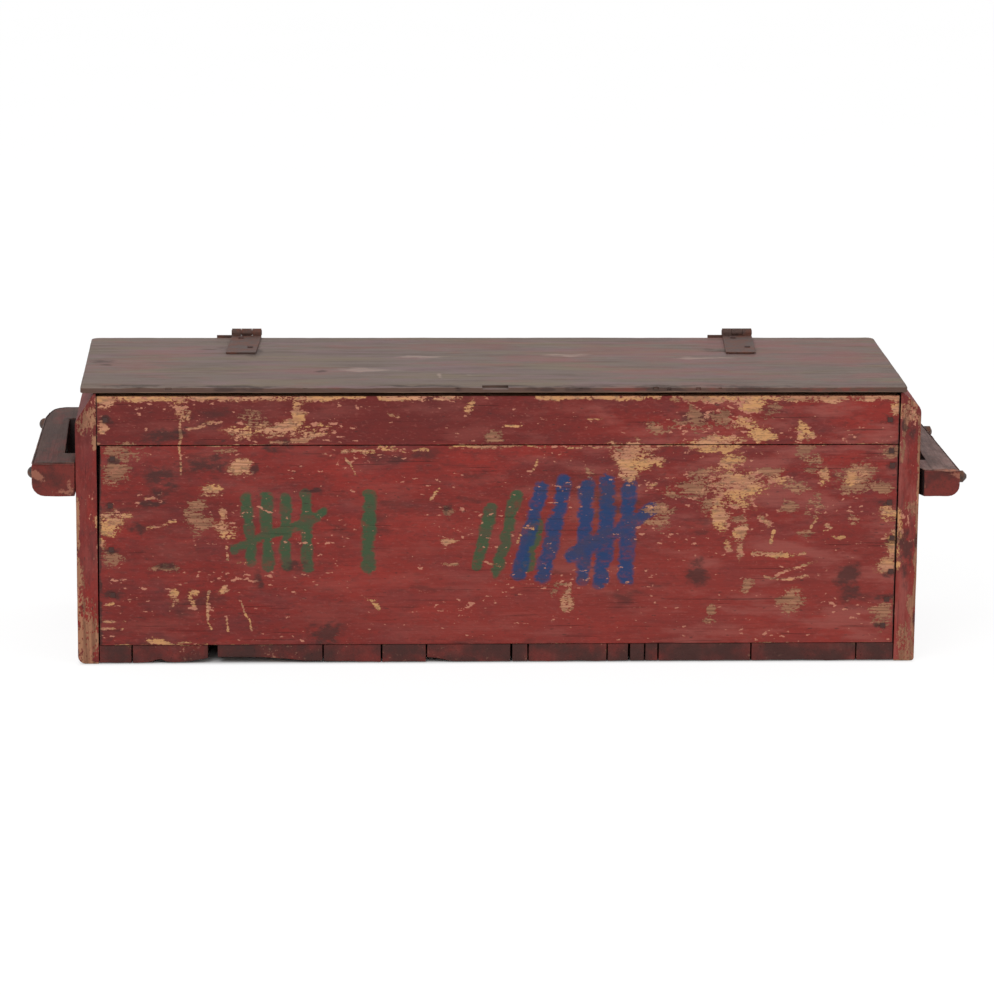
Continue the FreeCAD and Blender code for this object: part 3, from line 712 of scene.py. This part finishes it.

# wear on the front. Spots: across, up, half width, half height.
# Streaks, scratches and brush marks: both ends and half the width.
frontWear = {
    "bare": [
        (-470, 322, 10, 8), (-380, 313, 10, 11), (-238, 310, 7, 15), (-248, 288, 38, 8),
        (-310, 287, 17, 6), (-475, 293, 6, 6), (-312, 241, 11, 8), (-346, 215, 10, 6), (-330, 187, 3, 6),
        (-326, 169, 11, 7), (-466, 176, 12, 11), (-447, 182, 8, 4), (-476, 151, 5, 8), (-393, 81, 4, 11),
        (-366, 90, 6, 4), (-368, 77, 5, 6), (-336, 90, 5, 5), (-409, 30, 12, 3), (-36, 318, 4, 8),
        (154, 253, 15, 10), (152, 235, 12, 8), (159, 268, 10, 6), (-62, 151, 9, 3), (82, 77, 6, 11),
        (300, 320, 17, 6), (477, 315, 8, 8), (294, 296, 16, 8), (308, 285, 12, 9), (318, 278, 11, 4),
        (257, 267, 26, 6), (269, 274, 15, 6), (156, 258, 21, 12), (173, 248, 21, 8), (144, 235, 5, 8),
        (280, 248, 12, 9), (284, 216, 32, 20), (330, 222, 19, 6), (267, 186, 9, 18), (291, 159, 7, 10),
        (291, 142, 4, 9), (274, 150, 5, 10), (321, 175, 9, 5), (362, 284, 6, 8), (373, 279, 6, 4),
        (393, 231, 6, 8), (427, 228, 13, 9), (475, 184, 10, 10), (478, 156, 8, 21), (471, 122, 11, 8),
        (395, 164, 5, 6), (501, 306, 4, 8),
    ],
    "faded": [
        (-292, 301, 13, 12), (-461, 238, 17, 14), (-448, 260, 20, 9), (-324, 264, 15, 3),
        (-360, 179, 13, 14), (-356, 198, 11, 6), (-467, 133, 12, 9), (-400, 118, 16, 4), (-6, 278, 10, 7),
        (109, 235, 6, 6), (-58, 184, 6, 6), (63, 92, 5, 10), (232, 307, 8, 9), (185, 290, 10, 8),
        (217, 292, 16, 4), (241, 294, 13, 10), (264, 305, 10, 11), (329, 310, 10, 8), (236, 219, 19, 14),
        (210, 212, 10, 5), (354, 221, 17, 7), (248, 190, 10, 9), (289, 178, 10, 4), (368, 261, 8, 8),
        (377, 245, 8, 10), (429, 227, 20, 16), (460, 219, 12, 9), (470, 262, 13, 6), (351, 194, 9, 7),
        (381, 195, 7, 12), (425, 181, 7, 7), (299, 94, 6, 8), (356, 74, 15, 11), (261, 65, 6, 5),
        (254, 51, 8, 4), (466, 53, 10, 12), (370, 159, 9, 5), (323, 236, 13, 6), (191, 185, 12, 9),
        (189, 172, 12, 7), (-484, 275, 4, 8), (-495, 302, 8, 14), (-496, 30, 12, 40), (-502, 66, 5, 40),
        (497, 190, 8, 8), (500, 14, 10, 26), (497, 316, 8, 13), (504, 294, 3, 16),
    ],
    "streaks": [
        (-506, 205, -506, 95, 2.4), (-505, 200, -504, 120, 1.5), (488, 304, 486, 248, 1.8),
        (505.5, 290, 506, 70, 2.2), (499, 80, 505, 30, 3),
    ],
    "scratches": [
        (-481, 327, -165, 328, 4), (-145, 328, -48, 327, 3), (45, 328, 190, 328, 3),
        (210, 327, 480, 327, 4.5), (-381, 304, -382, 234, 1.4), (-372, 289, -334, 299, 1.6),
        (-274, 273, -232, 275, 1.6), (-425, 205, -403, 207, 1.6), (-421, 167, -389, 176, 2),
        (-349, 91, -351, 53, 1.5), (-351, 53, -345, 42, 1.3), (-311, 78, -297, 42, 1.4),
        (-326, 55, -326, 42, 1.4), (-479, 52, -446, 54, 1), (-480, 44, -451, 44, 1),
        (-479, 72, -463, 76, 1.4), (-475, 25, -351, 25, 1), (-316, 125, -303, 127, 1.6),
        (-326, 146, -326, 128, 1.8), (-189, 261, -150, 262, 2), (-144, 267, -111, 262, 2.6),
        (-105, 264, -86, 263, 1.6), (-61, 268, 24, 268, 1.5), (27, 268, 140, 267, 1.6),
        (3, 294, 25, 293, 1.6), (105, 300, 124, 302, 1.6), (-133, 308, -120, 305, 1.6),
        (-183, 254, -172, 234, 1.4), (-83, 203, -71, 217, 1.4), (-68, 123, -49, 123, 1.5),
        (-26, 129, 1, 121, 1.1), (76, 98, 88, 98, 1.6), (30, 168, 40, 166, 2), (-152, 78, -144, 68, 2.6),
        (-163, 82, -154, 79, 1.6), (37, 233, 45, 250, 1.6), (22, 150, 26, 158, 1.6),
        (179, 217, 188, 222, 2), (180, 192, 201, 192, 2), (305, 135, 349, 133, 2.4),
        (351, 134, 370, 134, 1.6), (321, 106, 347, 103, 1.6), (347, 103, 374, 106, 1.6),
        (402, 156, 417, 155, 1.5), (375, 166, 385, 180, 1.6), (333, 163, 328, 149, 2),
        (385, 125, 336, 110, 1.2), (190, 268, 300, 268, 1.2),
    ],
    "grime": [
        (-402, 279, 26, 8), (-356, 241, 26, 8), (-407, 227, 15, 16), (-420, 200, 20, 3),
        (-433, 169, 9, 5), (-397, 118, 16, 4), (-288, 102, 5, 9), (-208, 36, 19, 14), (-268, 266, 16, 6),
        (-337, 255, 11, 5), (-219, 212, 14, 3), (-250, 118, 14, 4), (-295, 236, 4, 4), (-58, 184, 6, 6),
        (417, 101, 6, 4), (424, 103, 13, 21), (239, 110, 10, 12), (-465, 86, 11, 6), (490, 300, 2, 7),
        (497, 281, 3, 6), (493, 140, 8, 34),
    ],
}
brushMarks = {
    "green": [
        (-303, 206, -299, 126, 6.5), (-281, 211, -277, 121, 7), (-258, 206, -256, 124, 6.5),
        (-235, 209, -231, 119, 7), (-320, 140, -214, 188, 6), (-158, 205, -155, 118, 8.5),
        (-28, 122, -10, 190, 7), (-3, 114, 20, 204, 7.5), (34, 120, 46, 170, 7),
    ],
    "blue": [
        (24, 112, 50, 216, 8), (52, 108, 78, 224, 9), (106, 222, 102, 108, 9), (131, 227, 126, 100, 9.5),
        (156, 221, 153, 106, 9), (84, 132, 186, 190, 8),
    ],
}
boardFace = 154  # farther from the middle than this lies the face of the front or the back
endFace = 504  # and that of an end
beyond = 1000  # past every piece
headSpan = 12  # a nail head is smaller, and its neighbour stands farther off
nailSmear = {"front": (8, 4), "back": (7, 4)}  # half width and height of the dark round a nail head
sideSpots = {"bare": (16, 2, 18), "faded": (16, 3, 22), "grime": (12, 4, 18)}  # count, smallest, largest
backSpots = {"bare": (3, 55, 2, 22), "faded": (4, 40, 3, 26), "grime": (5, 30, 4, 16)}  # a seed first
backArea = ((-480, 20), (480, 330))  # where they are strewn, low and high
endShift = 400  # the end planks' outer faces are laid out this far left and right
endAreas = (((-560, 10), (-240, 325)), ((240, 10), (560, 325)))
scratchDepth, streakDepth = 0.85, 0.9  # 1 wears as deep as a spot
brushWaves = ((60, 5), (18, 1.8))


def nailHeads(node, outwards):
    # the middle of each nail head of a node, as across and up
    places = np.array([corner.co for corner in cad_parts[node].data.vertices]) / mm
    rim = places[places[:, 1] * outwards > (places[:, 1] * outwards).max() - 0.1]
    heads = []
    for x, _, z in rim:
        if not any(math.hypot(x - a, z - b) < headSpan for a, b in heads):
            close = rim[np.hypot(rim[:, 0] - x, rim[:, 2] - z) < headSpan]
            heads.append((close[:, 0].mean(), close[:, 2].mean()))
    return heads


frontWear["grime"] += [(x - 1, z, *nailSmear["front"]) for x, z in nailHeads("front_board_nails", -1)]


def wearFront(piece, left=-beyond, right=beyond):
    # left and right are where the piece's ends begin, which sit in the joints and get painted shade, full
    # dark
    x, y, z = cornersOf(piece).T
    facing, side = y < -boardFace, np.abs(x) > endFace
    ends = (x < left) | (x > right)
    fields = {word: spotField(x, z, frontWear[word]) for word in sideSpots}
    scratches = scratchDepth * strokeField(x, z, frontWear["scratches"])
    fields["bare"] = np.maximum(fields["bare"], scratches)
    streaks = streakDepth * strokeField(x, z, frontWear["streaks"])
    fields["faded"] = np.maximum(fields["faded"], streaks)
    along = y + endShift * np.sign(x)
    seed = 50 if left > -beyond else 60  # the two end planks wear differently
    for word, (count, *sizes) in sideSpots.items():
        seed += 1
        strewn = scatter(seed, count, *endAreas[0], *sizes)
        strewn += scatter(seed + 20, count, *endAreas[1], *sizes)
        field = np.maximum(fields[word] * facing, spotField(along, z, strewn) * side)
        # the ends in the joints get painted shade through the grime field
        setShade(piece, word, np.maximum(field, ends) if word == "grime" else field)
    for mark, strokes in brushMarks.items():
        setShade(piece, mark + "Mark", strokeField(x, z, strokes, brushWaves) * facing)


def wearBack(piece, left, right):
    x, y, z = cornersOf(piece).T
    ends = (x < left) | (x > right)
    for word, (seed, count, *sizes) in backSpots.items():
        spots = scatter(seed, count, *backArea, *sizes)
        if word == "grime":
            spots += [(a, b, *nailSmear["back"]) for a, b in nailHeads("back_board_nails", 1)]
        field = spotField(x, z, spots) * (y > boardFace)
        # the ends in the joints get painted shade through the grime field
        setShade(piece, word, np.maximum(field, ends) if word == "grime" else field)


# front and back boards
boardSizes = {
    "edgeRound": 0.35,
    "cell": (9, 8, 9),
    "finer": 2,  # more cuts in the outer face
    "uneven": 0.8,
    "endSlope": 3,  # the lower front board's left end slopes, so the joint is widest at the top
    "slopeLength": 130,
    "paintReach": 7,  # how far the paint runs round the edges
    # past this, from either end, a board gets painted shade in its joint
    "shadedEnd": 0.6,
}
for number, (node, outwards) in enumerate((("front_upper_board", -1), ("front_lower_board", -1),
                                           ("back_upper_board", 1), ("back_lower_board", 1))):
    low, high = nodeBox(node)
    board = startBlock(node.replace("_", "-"), low, high)
    ends = sharpEdges(board)
    roundEdges(board, boardSizes["edgeRound"])
    cutBlock(board, boardSizes["cell"])
    choose(board, "FACE", lambda face: face.normal.y * outwards > squarely)
    bpy.ops.mesh.subdivide(number_cuts=boardSizes["finer"])
    done()
    if node == "front_lower_board":
        places = cornersOf(board)
        share = np.clip((high[2] - places[:, 2]) / boardSizes["slopeLength"], 0, 1)
        pushAlong(board, "X", -boardSizes["endSlope"], 0, share * (places[:, 0] < low[0] + 1))
    weather(board, boardSizes["uneven"])
    setGrain(board, (0, 2, 1), 10 + number)
    setEdge(board, ends)
    outerFace = high[1] if outwards > 0 else low[1]
    inwards = np.abs(cornersOf(board)[:, 1] - outerFace)
    setShade(board, "paint", np.clip(1 - inwards / boardSizes["paintReach"], 0, 1))
    wearIt = wearFront if outwards < 0 else wearBack
    wearIt(board, low[0] + boardSizes["shadedEnd"], high[0] - boardSizes["shadedEnd"])
    finishPiece(board, "chest", paintedWood, node)
print("boards planed")

# end planks, thick, with a tongue between the boards and a sloping top edge
endSizes = {
    "strip": 26,  # outer part that covers the boards' ends
    "board": 24,
    "foot": 23.5,
    "chamferHeight": {"left": 36, "right": 19},
    "chamferWidth": 23,
    "shoulderRound": {"left": 2.4, "right": 6.1},
    "footRound": {"left": 10, "right": 4},
    "edgeRound": 0.8,
    "cell": (8, 9, 9),
    "finer": 2,  # more cuts in the front face, which lies farther out than finerPast
    "finerPast": 150,
    "uneven": 1.2,
    "paintFade": 3,
    # past this, inside the strip, the tongue gets painted shade
    "shadedInside": 0.8,
    "gapDepth": 1.5,  # of the painted shade on the face towards the boards
    "hollow": (-97, 106),  # from, to, where the plank gets painted shade behind the handle's hollow
    "hollowShade": 0.8,
}
for number, (side, sign) in enumerate((("left", -1), ("right", 1))):
    node = side + "_end_plank"
    low, high = nodeBox(node)
    outer = low[0] if sign < 0 else high[0]
    inner = outer - sign * endSizes["strip"]
    first, last = sorted((outer, inner))
    plank = startBlock(node.replace("_", "-"), (first, low[1], low[2]), (last, high[1], high[2]))
    tongueHalf = high[1] - endSizes["board"]
    sliceAt(plank, 1, (-tongueHalf, tongueHalf))
    sliceAt(plank, 2, (endSizes["foot"],))
    choose(plank, "FACE", lambda face: face.normal.x * sign < -squarely
           and abs(middleOf(face).y) < tongueHalf and middleOf(face).z > endSizes["foot"])
    tongue = abs(high[0] - low[0]) - endSizes["strip"]
    bpy.ops.mesh.extrude_region_move(TRANSFORM_OT_translate={"value": (-sign * tongue * mm, 0, 0)})
    # the sloping top edge
    drop, inset = endSizes["chamferHeight"][side], endSizes["chamferWidth"]
    bpy.ops.mesh.select_all(action="SELECT")
    slope = Vector((sign * drop, 0, inset)).normalized()
    bpy.ops.mesh.bisect(plane_co=(outer * mm, 0, (high[2] - drop) * mm), plane_no=slope, use_fill=True,
                        clear_outer=True)
    done()
    ends = sharpEdges(plank)
    for kind, segments, bottom, top in (("shoulderRound", 5, 100, high[2]), ("footRound", 4, -1, 1)):
        roundEdges(plank, endSizes[kind][side], segments, lambda edge: runsAlong(edge, 1)
                   and near(middleOf(edge).x, outer) and bottom < middleOf(edge).z < top)
    roundEdges(plank, endSizes["edgeRound"], 2)
    sliceEvenly(plank, endSizes["cell"])
    choose(plank, "FACE", lambda face: face.normal.y < -squarely
           and middleOf(face).y < -endSizes["finerPast"])
    bpy.ops.mesh.subdivide(number_cuts=endSizes["finer"])
    done()
    weather(plank, endSizes["uneven"])
    setGrain(plank, (2, 1, 0), 30 + number)
    setEdge(plank, ends)
    x, y, z = cornersOf(plank).T
    painted = np.clip((x - inner) * sign / endSizes["paintFade"] + 0.6, 0, 1)
    setShade(plank, "paint", painted * (z > 1))
    # the tongue between the boards gets painted shade, as the ends of a board do
    inside = inner - sign * endSizes["shadedInside"]
    wearFront(plank, inside if sign > 0 else -beyond, inside if sign < 0 else beyond)
    # painted shade: the face towards the boards in the gap, and the outer face behind the handle's hollow,
    # are darkened
    gapFace = near(x, inner, endSizes["gapDepth"]) & (y > low[1] + 2) & (y < high[1] - 2)
    handleLow, handleHigh = nodeBox(side + "_handle")
    start, end = endSizes["hollow"]
    behind = near(x, outer, 3) & (z > handleLow[2]) & (z < handleHigh[2]) & (y > start) & (y < end)
    setShade(plank, "sootAndPaintedShade", np.maximum(gapFace, endSizes["hollowShade"] * behind))
    finishPiece(plank, "chest", paintedWood, node)
print("end planks shaped")

# bottom planks, laid across, some worn underneath at the front
bottomSizes = {
    "count": 10,
    "edgeRound": 0.7,
    "cell": (6, 8, 5),
    "uneven": 1.0,
    "wearLength": 42,  # from the front end
    "wearFade": 8,
    "mostWear": 8,
    "ragged": 2.2,
    "raggedWave": 16,
    "raggedFade": 30,
    "raggedHeight": 12,
    "crackTip": 0.1,  # share of the crack's width
    "paintReach": 7,
}
wornUndersides = {  # share of the plank's width, height
    2: ((0, 0), (0.22, 0.5), (0.32, 4), (0.36, 5.5), (0.42, 2), (0.55, 0), (0.75, 1), (1, 6)),
    3: ((0, 7.5), (0.42, 7), (0.85, 2), (1, 1.5)),
    4: ((0, 1.5), (0.4, 0), (1, 0)),
    5: ((0, 6), (0.12, 4.5), (0.25, 0), (1, 0)),
}
cracks = (  # plank, x, half width, depth
    (4, -141, 0.9, 30), (5, 16, 1.2, 40), (7, 159, 1.3, 40), (7, 178, 0.8, 25),
)
for number in range(1, bottomSizes["count"] + 1):
    node = "bottom_plank_%02d" % number
    low, high = nodeBox(node)
    low[2] = 0
    plank = startBlock(node.replace("_", "-"), low, high)
    ends = sharpEdges(plank)
    roundEdges(plank, bottomSizes["edgeRound"])
    cutBlock(plank, bottomSizes["cell"])
    wearEnd = low[1] + bottomSizes["wearLength"]
    if number in wornUndersides:
        shares, heights = np.array(wornUndersides[number]).T
        x, y, z = cornersOf(plank).T
        lift = np.interp((x - low[0]) / (high[0] - low[0]), shares, heights) / bottomSizes["mostWear"]
        lift *= 1 - z / high[2]
        lift *= np.clip((wearEnd - y) / bottomSizes["wearFade"], 0, 1)
        pushAlong(plank, "Z", bottomSizes["mostWear"], 0, lift)
    x, y, z = cornersOf(plank).T
    ragged = np.clip((wearEnd - y) / bottomSizes["raggedFade"], 0, 1)
    ragged = ragged * np.clip(1 - z / bottomSizes["raggedHeight"], 0, 1)
    pushAlong(plank, "Z", bottomSizes["ragged"], bottomSizes["raggedWave"], ragged)
    for x, width, depth in [crack[1:] for crack in cracks if crack[0] == number]:
        carveWedge(plank, (x - width, low[1] - clear, -clear), (x + width, low[1] + depth, high[2] + clear),
                   bottomSizes["crackTip"], width)
    weather(plank, bottomSizes["uneven"], (30, 8))
    setGrain(plank, (1, 0, 2), 50 + number)
    setEdge(plank, ends)
    y = cornersOf(plank)[:, 1]
    fromEnd = np.minimum(y - low[1], high[1] - y)
    setShade(plank, "paint", np.clip(1 - fromEnd / bottomSizes["paintReach"], 0, 1))
    finishPiece(plank, "chest", bottomWood, node)
print("bottom planks laid")

# lid, one thin board
lidSizes = {
    "rearRound": 10,
    "frontRound": 4,
    "edgeRound": 1.4,
    "recess": (-21.5, 9.5, 13, 3.5),  # from, to, length, depth
    "cell": (5, 6, 4),
    "uneven": 1.0,
    "frontEdge": {"reach": 16, "depth": 2.6, "wave": 42, "sag": 2.4, "sagWave": 34},
    "chipTip": 0.45,  # share of the chip's width
    "chips": [  # x, width, depth, height
        (186, 12, 3, 4), (202, 9, 2.4, 5), (237, 11, 3, 4.5), (263, 8, 2, 3.5), (-52, 9, 1.6, 3),
        (96, 10, 1.6, 3), (-233, 12, 1.6, 3), (-395, 14, 1.8, 4), (402, 9, 1.6, 3),
    ],
    "paintReach": 3,
}
lidWear = {
    "faded": [
        (-450, -20, 50, 45), (-400, 60, 45, 30), (-225, -60, 60, 18), (-60, 90, 70, 25), (60, 20, 50, 20),
        (150, 60, 80, 40), (240, -60, 90, 16), (330, 110, 60, 30), (400, 40, 70, 45), (440, 120, 40, 25),
        (240, 10, 60, 20),
    ],
    "bare": [
        (-160, -55, 34, 9), (-70, -88, 3, 12), (-66, -112, 2.5, 5), (262, 20, 26, 7), (-30, -82, 4, 4),
        (-90, 30, 26, 6), (90, 40, 30, 5),
    ],
    "grime": [
        (-480, 2, 12, 8), (-476, -20, 8, 5), (-214, -60, 6, 5), (-232, -105, 7, 3), (-440, -150, 30, 5),
        (-300, -152, 60, 4), (-100, -150, 50, 4), (60, -152, 60, 5), (198, -153, 40, 8),
        (300, -154, 60, 5), (-328, 82, 26, 6), (-295, 60, 8, 26), (292, 70, 26, 8),
    ],
}
low, high = nodeBox("lid_board")
lid = startBlock("lid-board", low, high)
for rear, radius in ((True, lidSizes["rearRound"]), (False, lidSizes["frontRound"])):
    roundEdges(lid, radius, 4, lambda edge: runsAlong(edge, 2) and (middleOf(edge).y > 0) == rear)
ends = sharpEdges(lid)
roundEdges(lid, lidSizes["edgeRound"])
sliceEvenly(lid, lidSizes["cell"])
weather(lid, lidSizes["uneven"], (90, 16))
frontEdge = lidSizes["frontEdge"]


def towardsFront(y):
    return np.clip((low[1] + frontEdge["reach"] - y) / frontEdge["reach"], 0, 1)


x, y, z = cornersOf(lid).T
pushAlong(lid, "Y", frontEdge["depth"], frontEdge["wave"], towardsFront(y) ** 2)
x, y, z = cornersOf(lid).T
sag = towardsFront(y) * np.clip((z - low[2] - 1.5) / 6, 0, 1)
pushAlong(lid, "Z", -frontEdge["sag"], frontEdge["sagWave"], sag)
start, end, length, depth = lidSizes["recess"]
carve(lid, startBlock("recess", (start, low[1] - clear, high[2] - depth),
                      (end, low[1] + length, high[2] + clear)))
for x, width, depth, height in lidSizes["chips"]:
    carveWedge(lid, (x - width / 2, low[1] - clear, high[2] - height),
               (x + width / 2, low[1] + depth + 1, high[2] + clear), lidSizes["chipTip"])
setGrain(lid, (0, 1, 2), 71)
setEdge(lid, ends)
x, y, z = cornersOf(lid).T
setShade(lid, "paint", np.clip((z - low[2]) / lidSizes["paintReach"], 0, 1))
for word, spots in lidWear.items():
    setShade(lid, word, spotField(x, y, spots) * (z > low[2] + 2))
finishPiece(lid, "lid", lidWood, "lid_board")
print("lid fitted")

# handles, one rail along each end, hollowed for the fingers
handleSizes = {
    "left": {"taper": 2, "cornerWidth": 11.3, "cornerLength": 43, "bend": 28, "underRound": 16,
             "cornerRound": 17, "gap": 0},
    "right": {"taper": 8, "cornerWidth": 5, "cornerLength": 30, "bend": 14, "underRound": 14,
              "cornerRound": 11, "gap": 5},
    "gapLength": 14,
    "bendSteps": (-1, -0.5, 0, 0.5, 0.75),  # where the bend is cut, as shares of its length
    "topRound": 4,
    "frontRound": 2.5,
    "edgeRound": 1.6,
    "hollow": (-97, 106, 14, 18.5),  # from, to, depth at the front, depth at the rear
    "hollowSlope": 38,  # its rear end runs out towards the underside
    "cell": (7, 9, 7),
    "uneven": 1.4,
}
handleWear = [(-512, 213, 5, 6), (-522, 211, 6, 3), (-515, 223, 3, 5), (-531, 210, 5, 2), (-555, 234, 4, 7),
              (-546, 231, 2, 5), (554, 232, 4, 5), (549, 236, 7, 3), (553, 222, 2, 3), (541, 237, 5, 2),
              (530, 225, 1.5, 2)]  # across, up, half width, half height
handleWaves = ((14, 4), (5, 3))


def outerShift(size, along, bend):
    # how far in the outer face lies: a slight taper, then a bend towards the rear corner
    slope = size["cornerWidth"] / size["cornerLength"]
    past = max(along - bend + size["bend"], 0)
    turned = past ** 2 / (4 * size["bend"]) if past < 2 * size["bend"] else past - size["bend"]
    return size["taper"] * min(along / bend, 1) + slope * turned


for number, (side, sign) in enumerate((("left", -1), ("right", 1))):
    node = side + "_handle"
    size = handleSizes[side]
    low, high = nodeBox(node)
    outer, inner = (low[0], high[0]) if sign < 0 else (high[0], low[0])
    rail = startBlock(node.replace("_", "-"), low, high)
    bend = high[1] - size["cornerLength"]
    steps = [low[1] + handleSizes["gapLength"]]
    steps += [bend + size["bend"] * share for share in handleSizes["bendSteps"]]
    sliceAt(rail, 1, steps)

    def isAt(corner, x, y):
        return near(corner.co.x / mm, x) and near(corner.co.y / mm, y)

    for step in steps + [high[1]]:
        inwards = -sign * outerShift(size, step - low[1], bend - low[1])
        shiftCorners(rail, lambda corner: isAt(corner, outer, step), inwards, 0, 0)
    if size["gap"]:
        shiftCorners(rail, lambda corner: isAt(corner, inner, low[1]), sign * size["gap"], 0, 0)

    start, end, shallow, deep = handleSizes["hollow"]
    first, last = sorted((inner - sign * clear, inner + sign * shallow))
    cutter = startBlock("hollow", (first, start, low[2] - clear), (last, end, high[2] + clear))
    shiftCorners(cutter, lambda corner: corner.co.x * sign > inner * mm * sign and corner.co.y > 0,
                 sign * (deep - shallow), 0, 0)
    shiftCorners(cutter, lambda corner: corner.co.z / mm < low[2] and corner.co.y > 0,
                 0, -handleSizes["hollowSlope"], 0)
    carve(rail, cutter)
    ends = sharpEdges(rail)

    def outwardsOf(edge):
        return (middleOf(edge).x - inner) * sign

    def isRim(edge, height):
        return isSharp(edge) and near(middleOf(edge).z, height)

    roundEdges(rail, size["cornerRound"], 6, lambda edge: runsAlong(edge, 2)
               and middleOf(edge).y > high[1] - 1 and outwardsOf(edge) > 20)
    roundEdges(rail, size["underRound"], 5, lambda edge: isRim(edge, low[2]) and outwardsOf(edge) > 30
               and low[1] + 0.5 < middleOf(edge).y < bend)
    roundEdges(rail, handleSizes["topRound"], 3, lambda edge: isRim(edge, high[2])
               and abs(middleOf(edge).y - low[1]) > 0.5
               and (outwardsOf(edge) > deep + 3 or middleOf(edge).y > high[1] - 1))
    roundEdges(rail, handleSizes["frontRound"], 3, lambda edge: isRim(edge, high[2])
               and near(middleOf(edge).y, low[1]))
    roundEdges(rail, handleSizes["edgeRound"], 2)
    sliceEvenly(rail, handleSizes["cell"])
    weather(rail, handleSizes["uneven"], (40, 10))
    setGrain(rail, (1, 2, 0), 80 + number)
    setEdge(rail, ends)
    x, y, z = cornersOf(rail).T
    depth = (x - inner) * sign
    # painted shade in the finger hollow and in the gap before the plank
    inHollow = (depth < deep + 0.5) & (y > start - 0.5) & (y < end + 0.5)
    gapFace = (depth < size["gap"] + 0.6) & (y > low[1] + 0.5) & (size["gap"] > 0)
    gapFace &= y < low[1] + handleSizes["gapLength"] + 1
    setShade(rail, "sootAndPaintedShade", (inHollow | gapFace) & (z < high[2] - 1))
    setShade(rail, "bare", spotField(x, z, handleWear, handleWaves) * (y < low[1] + 2))
    finishPiece(rail, "chest", handleWood, node)
print("handles carved")

# iron that stays as it is gets its finish
for node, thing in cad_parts.items():
    if thing.hide_render:
        continue
    kind = "hingeIron" if "hinge" in node else "boltIron" if "handle" in node else "nailIron"
    if not thing.data.materials:
        thing.data.materials.append(irons[kind])
    for slotNumber in range(len(thing.data.materials)):
        thing.data.materials[slotNumber] = irons[kind]
print("iron finished")

# floor, light and camera, in metres
stageLook = {
    "size": 30,
    "floor": (228, 228, 228),
    "floorSpots": (236, 236, 235),
    "floorGlow": 1.1,
    "whiteShare": 0.8,
    "under": (0.49, 0.145),  # half width and half depth of the dark under the chest
    "underEdge": 0.02,
    "skyStrength": 0.72,
}
white = (1, 1, 1, 1)


def seenRays():
    # 1 for what the camera sees, also in gloss or through glass, and 0 for light on the chest
    rays = addNode("LightPath")
    other = larger(rays.outputs["Is Glossy Ray"], rays.outputs["Is Transmission Ray"])
    return larger(rays.outputs["Is Camera Ray"], other)


pickNothing()
bpy.ops.mesh.primitive_plane_add(size=stageLook["size"], location=(0, 0, 0))
floor = bpy.context.active_object
floor.name = "floor"
floorFinish = openTree(bpy.data.materials.new("floor"))
ground = addNode("TexCoord").outputs["Object"]
cloth = addNode("TexNoise", {"Scale": 3.0, "Vector": ground}).outputs[0]
pale = over(cloth, stageLook["floor"], stageLook["floorSpots"])
matte = addNode("BsdfDiffuse", {"Color": pale})
glow = addNode("Emission", {"Color": white, "Strength": stageLook["floorGlow"]})
beside, before = [ease(reckon("ABSOLUTE", axisOf(axis)), half, half + stageLook["underEdge"])
                  for axis, half in enumerate(stageLook["under"])]
seen = times(seenRays(), larger(beside, before))
mixed = addNode("MixShader", {0: times(seen, stageLook["whiteShare"]), 1: matte.outputs[0],
                                    2: glow.outputs[0]})
addNode("OutputMaterial", {"Surface": mixed.outputs[0]})
floor.data.materials.append(floorFinish)

bpy.context.scene.world = openTree(bpy.data.worlds.new("studio"))
light = addNode("Background", {"Color": white, "Strength": stageLook["skyStrength"]})
backdrop = addNode("Background", {"Color": white, "Strength": 1.0})
mixed = addNode("MixShader", {0: seenRays(), 1: light.outputs[0], 2: backdrop.outputs[0]})
addNode("OutputWorld", {"Surface": mixed.outputs[0]})

lampAim = Vector((0, 0, 0.15))
lamps = {
    "key": {"place": (-1.6, -3.2, 3.4), "size": 2.4, "power": 70},
    "fill": {"place": (2.6, -2.6, 1.8), "size": 2.0, "power": 18},
}
for name, lamp in lamps.items():
    light = bpy.data.lights.new(name, "AREA")
    light.size = lamp["size"]
    light.energy = lamp["power"]
    holder = bpy.data.objects.new(name, light)
    bpy.context.scene.collection.objects.link(holder)
    holder.location = lamp["place"]
    holder.rotation_euler = (lampAim - Vector(lamp["place"])).to_track_quat("-Z", "Y").to_euler()

cameraSizes = {
    "place": (-0.2514, -5.1221, 1.3485),
    "lens": 153.98,
    "sensor": 36,
    "turn": 0.05,  # radians to the right
    "tilt": 0.226,  # and down
    "roll": -0.009,
}
turn, tilt, roll = cameraSizes["turn"], cameraSizes["tilt"], cameraSizes["roll"]
ahead = Vector((math.sin(turn) * math.cos(tilt), math.cos(turn) * math.cos(tilt), -math.sin(tilt)))
right = Vector((math.cos(turn), -math.sin(turn), 0))
down = ahead.cross(right)
right, down = (math.cos(roll) * right + math.sin(roll) * down,
               math.cos(roll) * down - math.sin(roll) * right)
camera = bpy.data.objects.new("camera", bpy.data.cameras.new("camera"))
bpy.context.scene.collection.objects.link(camera)
facing = Matrix((right, -down, -ahead)).transposed()
camera.matrix_world = Matrix.Translation(cameraSizes["place"]) @ facing.to_4x4()
camera.data.sensor_fit = "HORIZONTAL"
camera.data.sensor_width = cameraSizes["sensor"]
camera.data.lens = cameraSizes["lens"]
bpy.context.scene.camera = camera
bpy.context.scene.view_settings.view_transform = "Standard"
print("stage set")
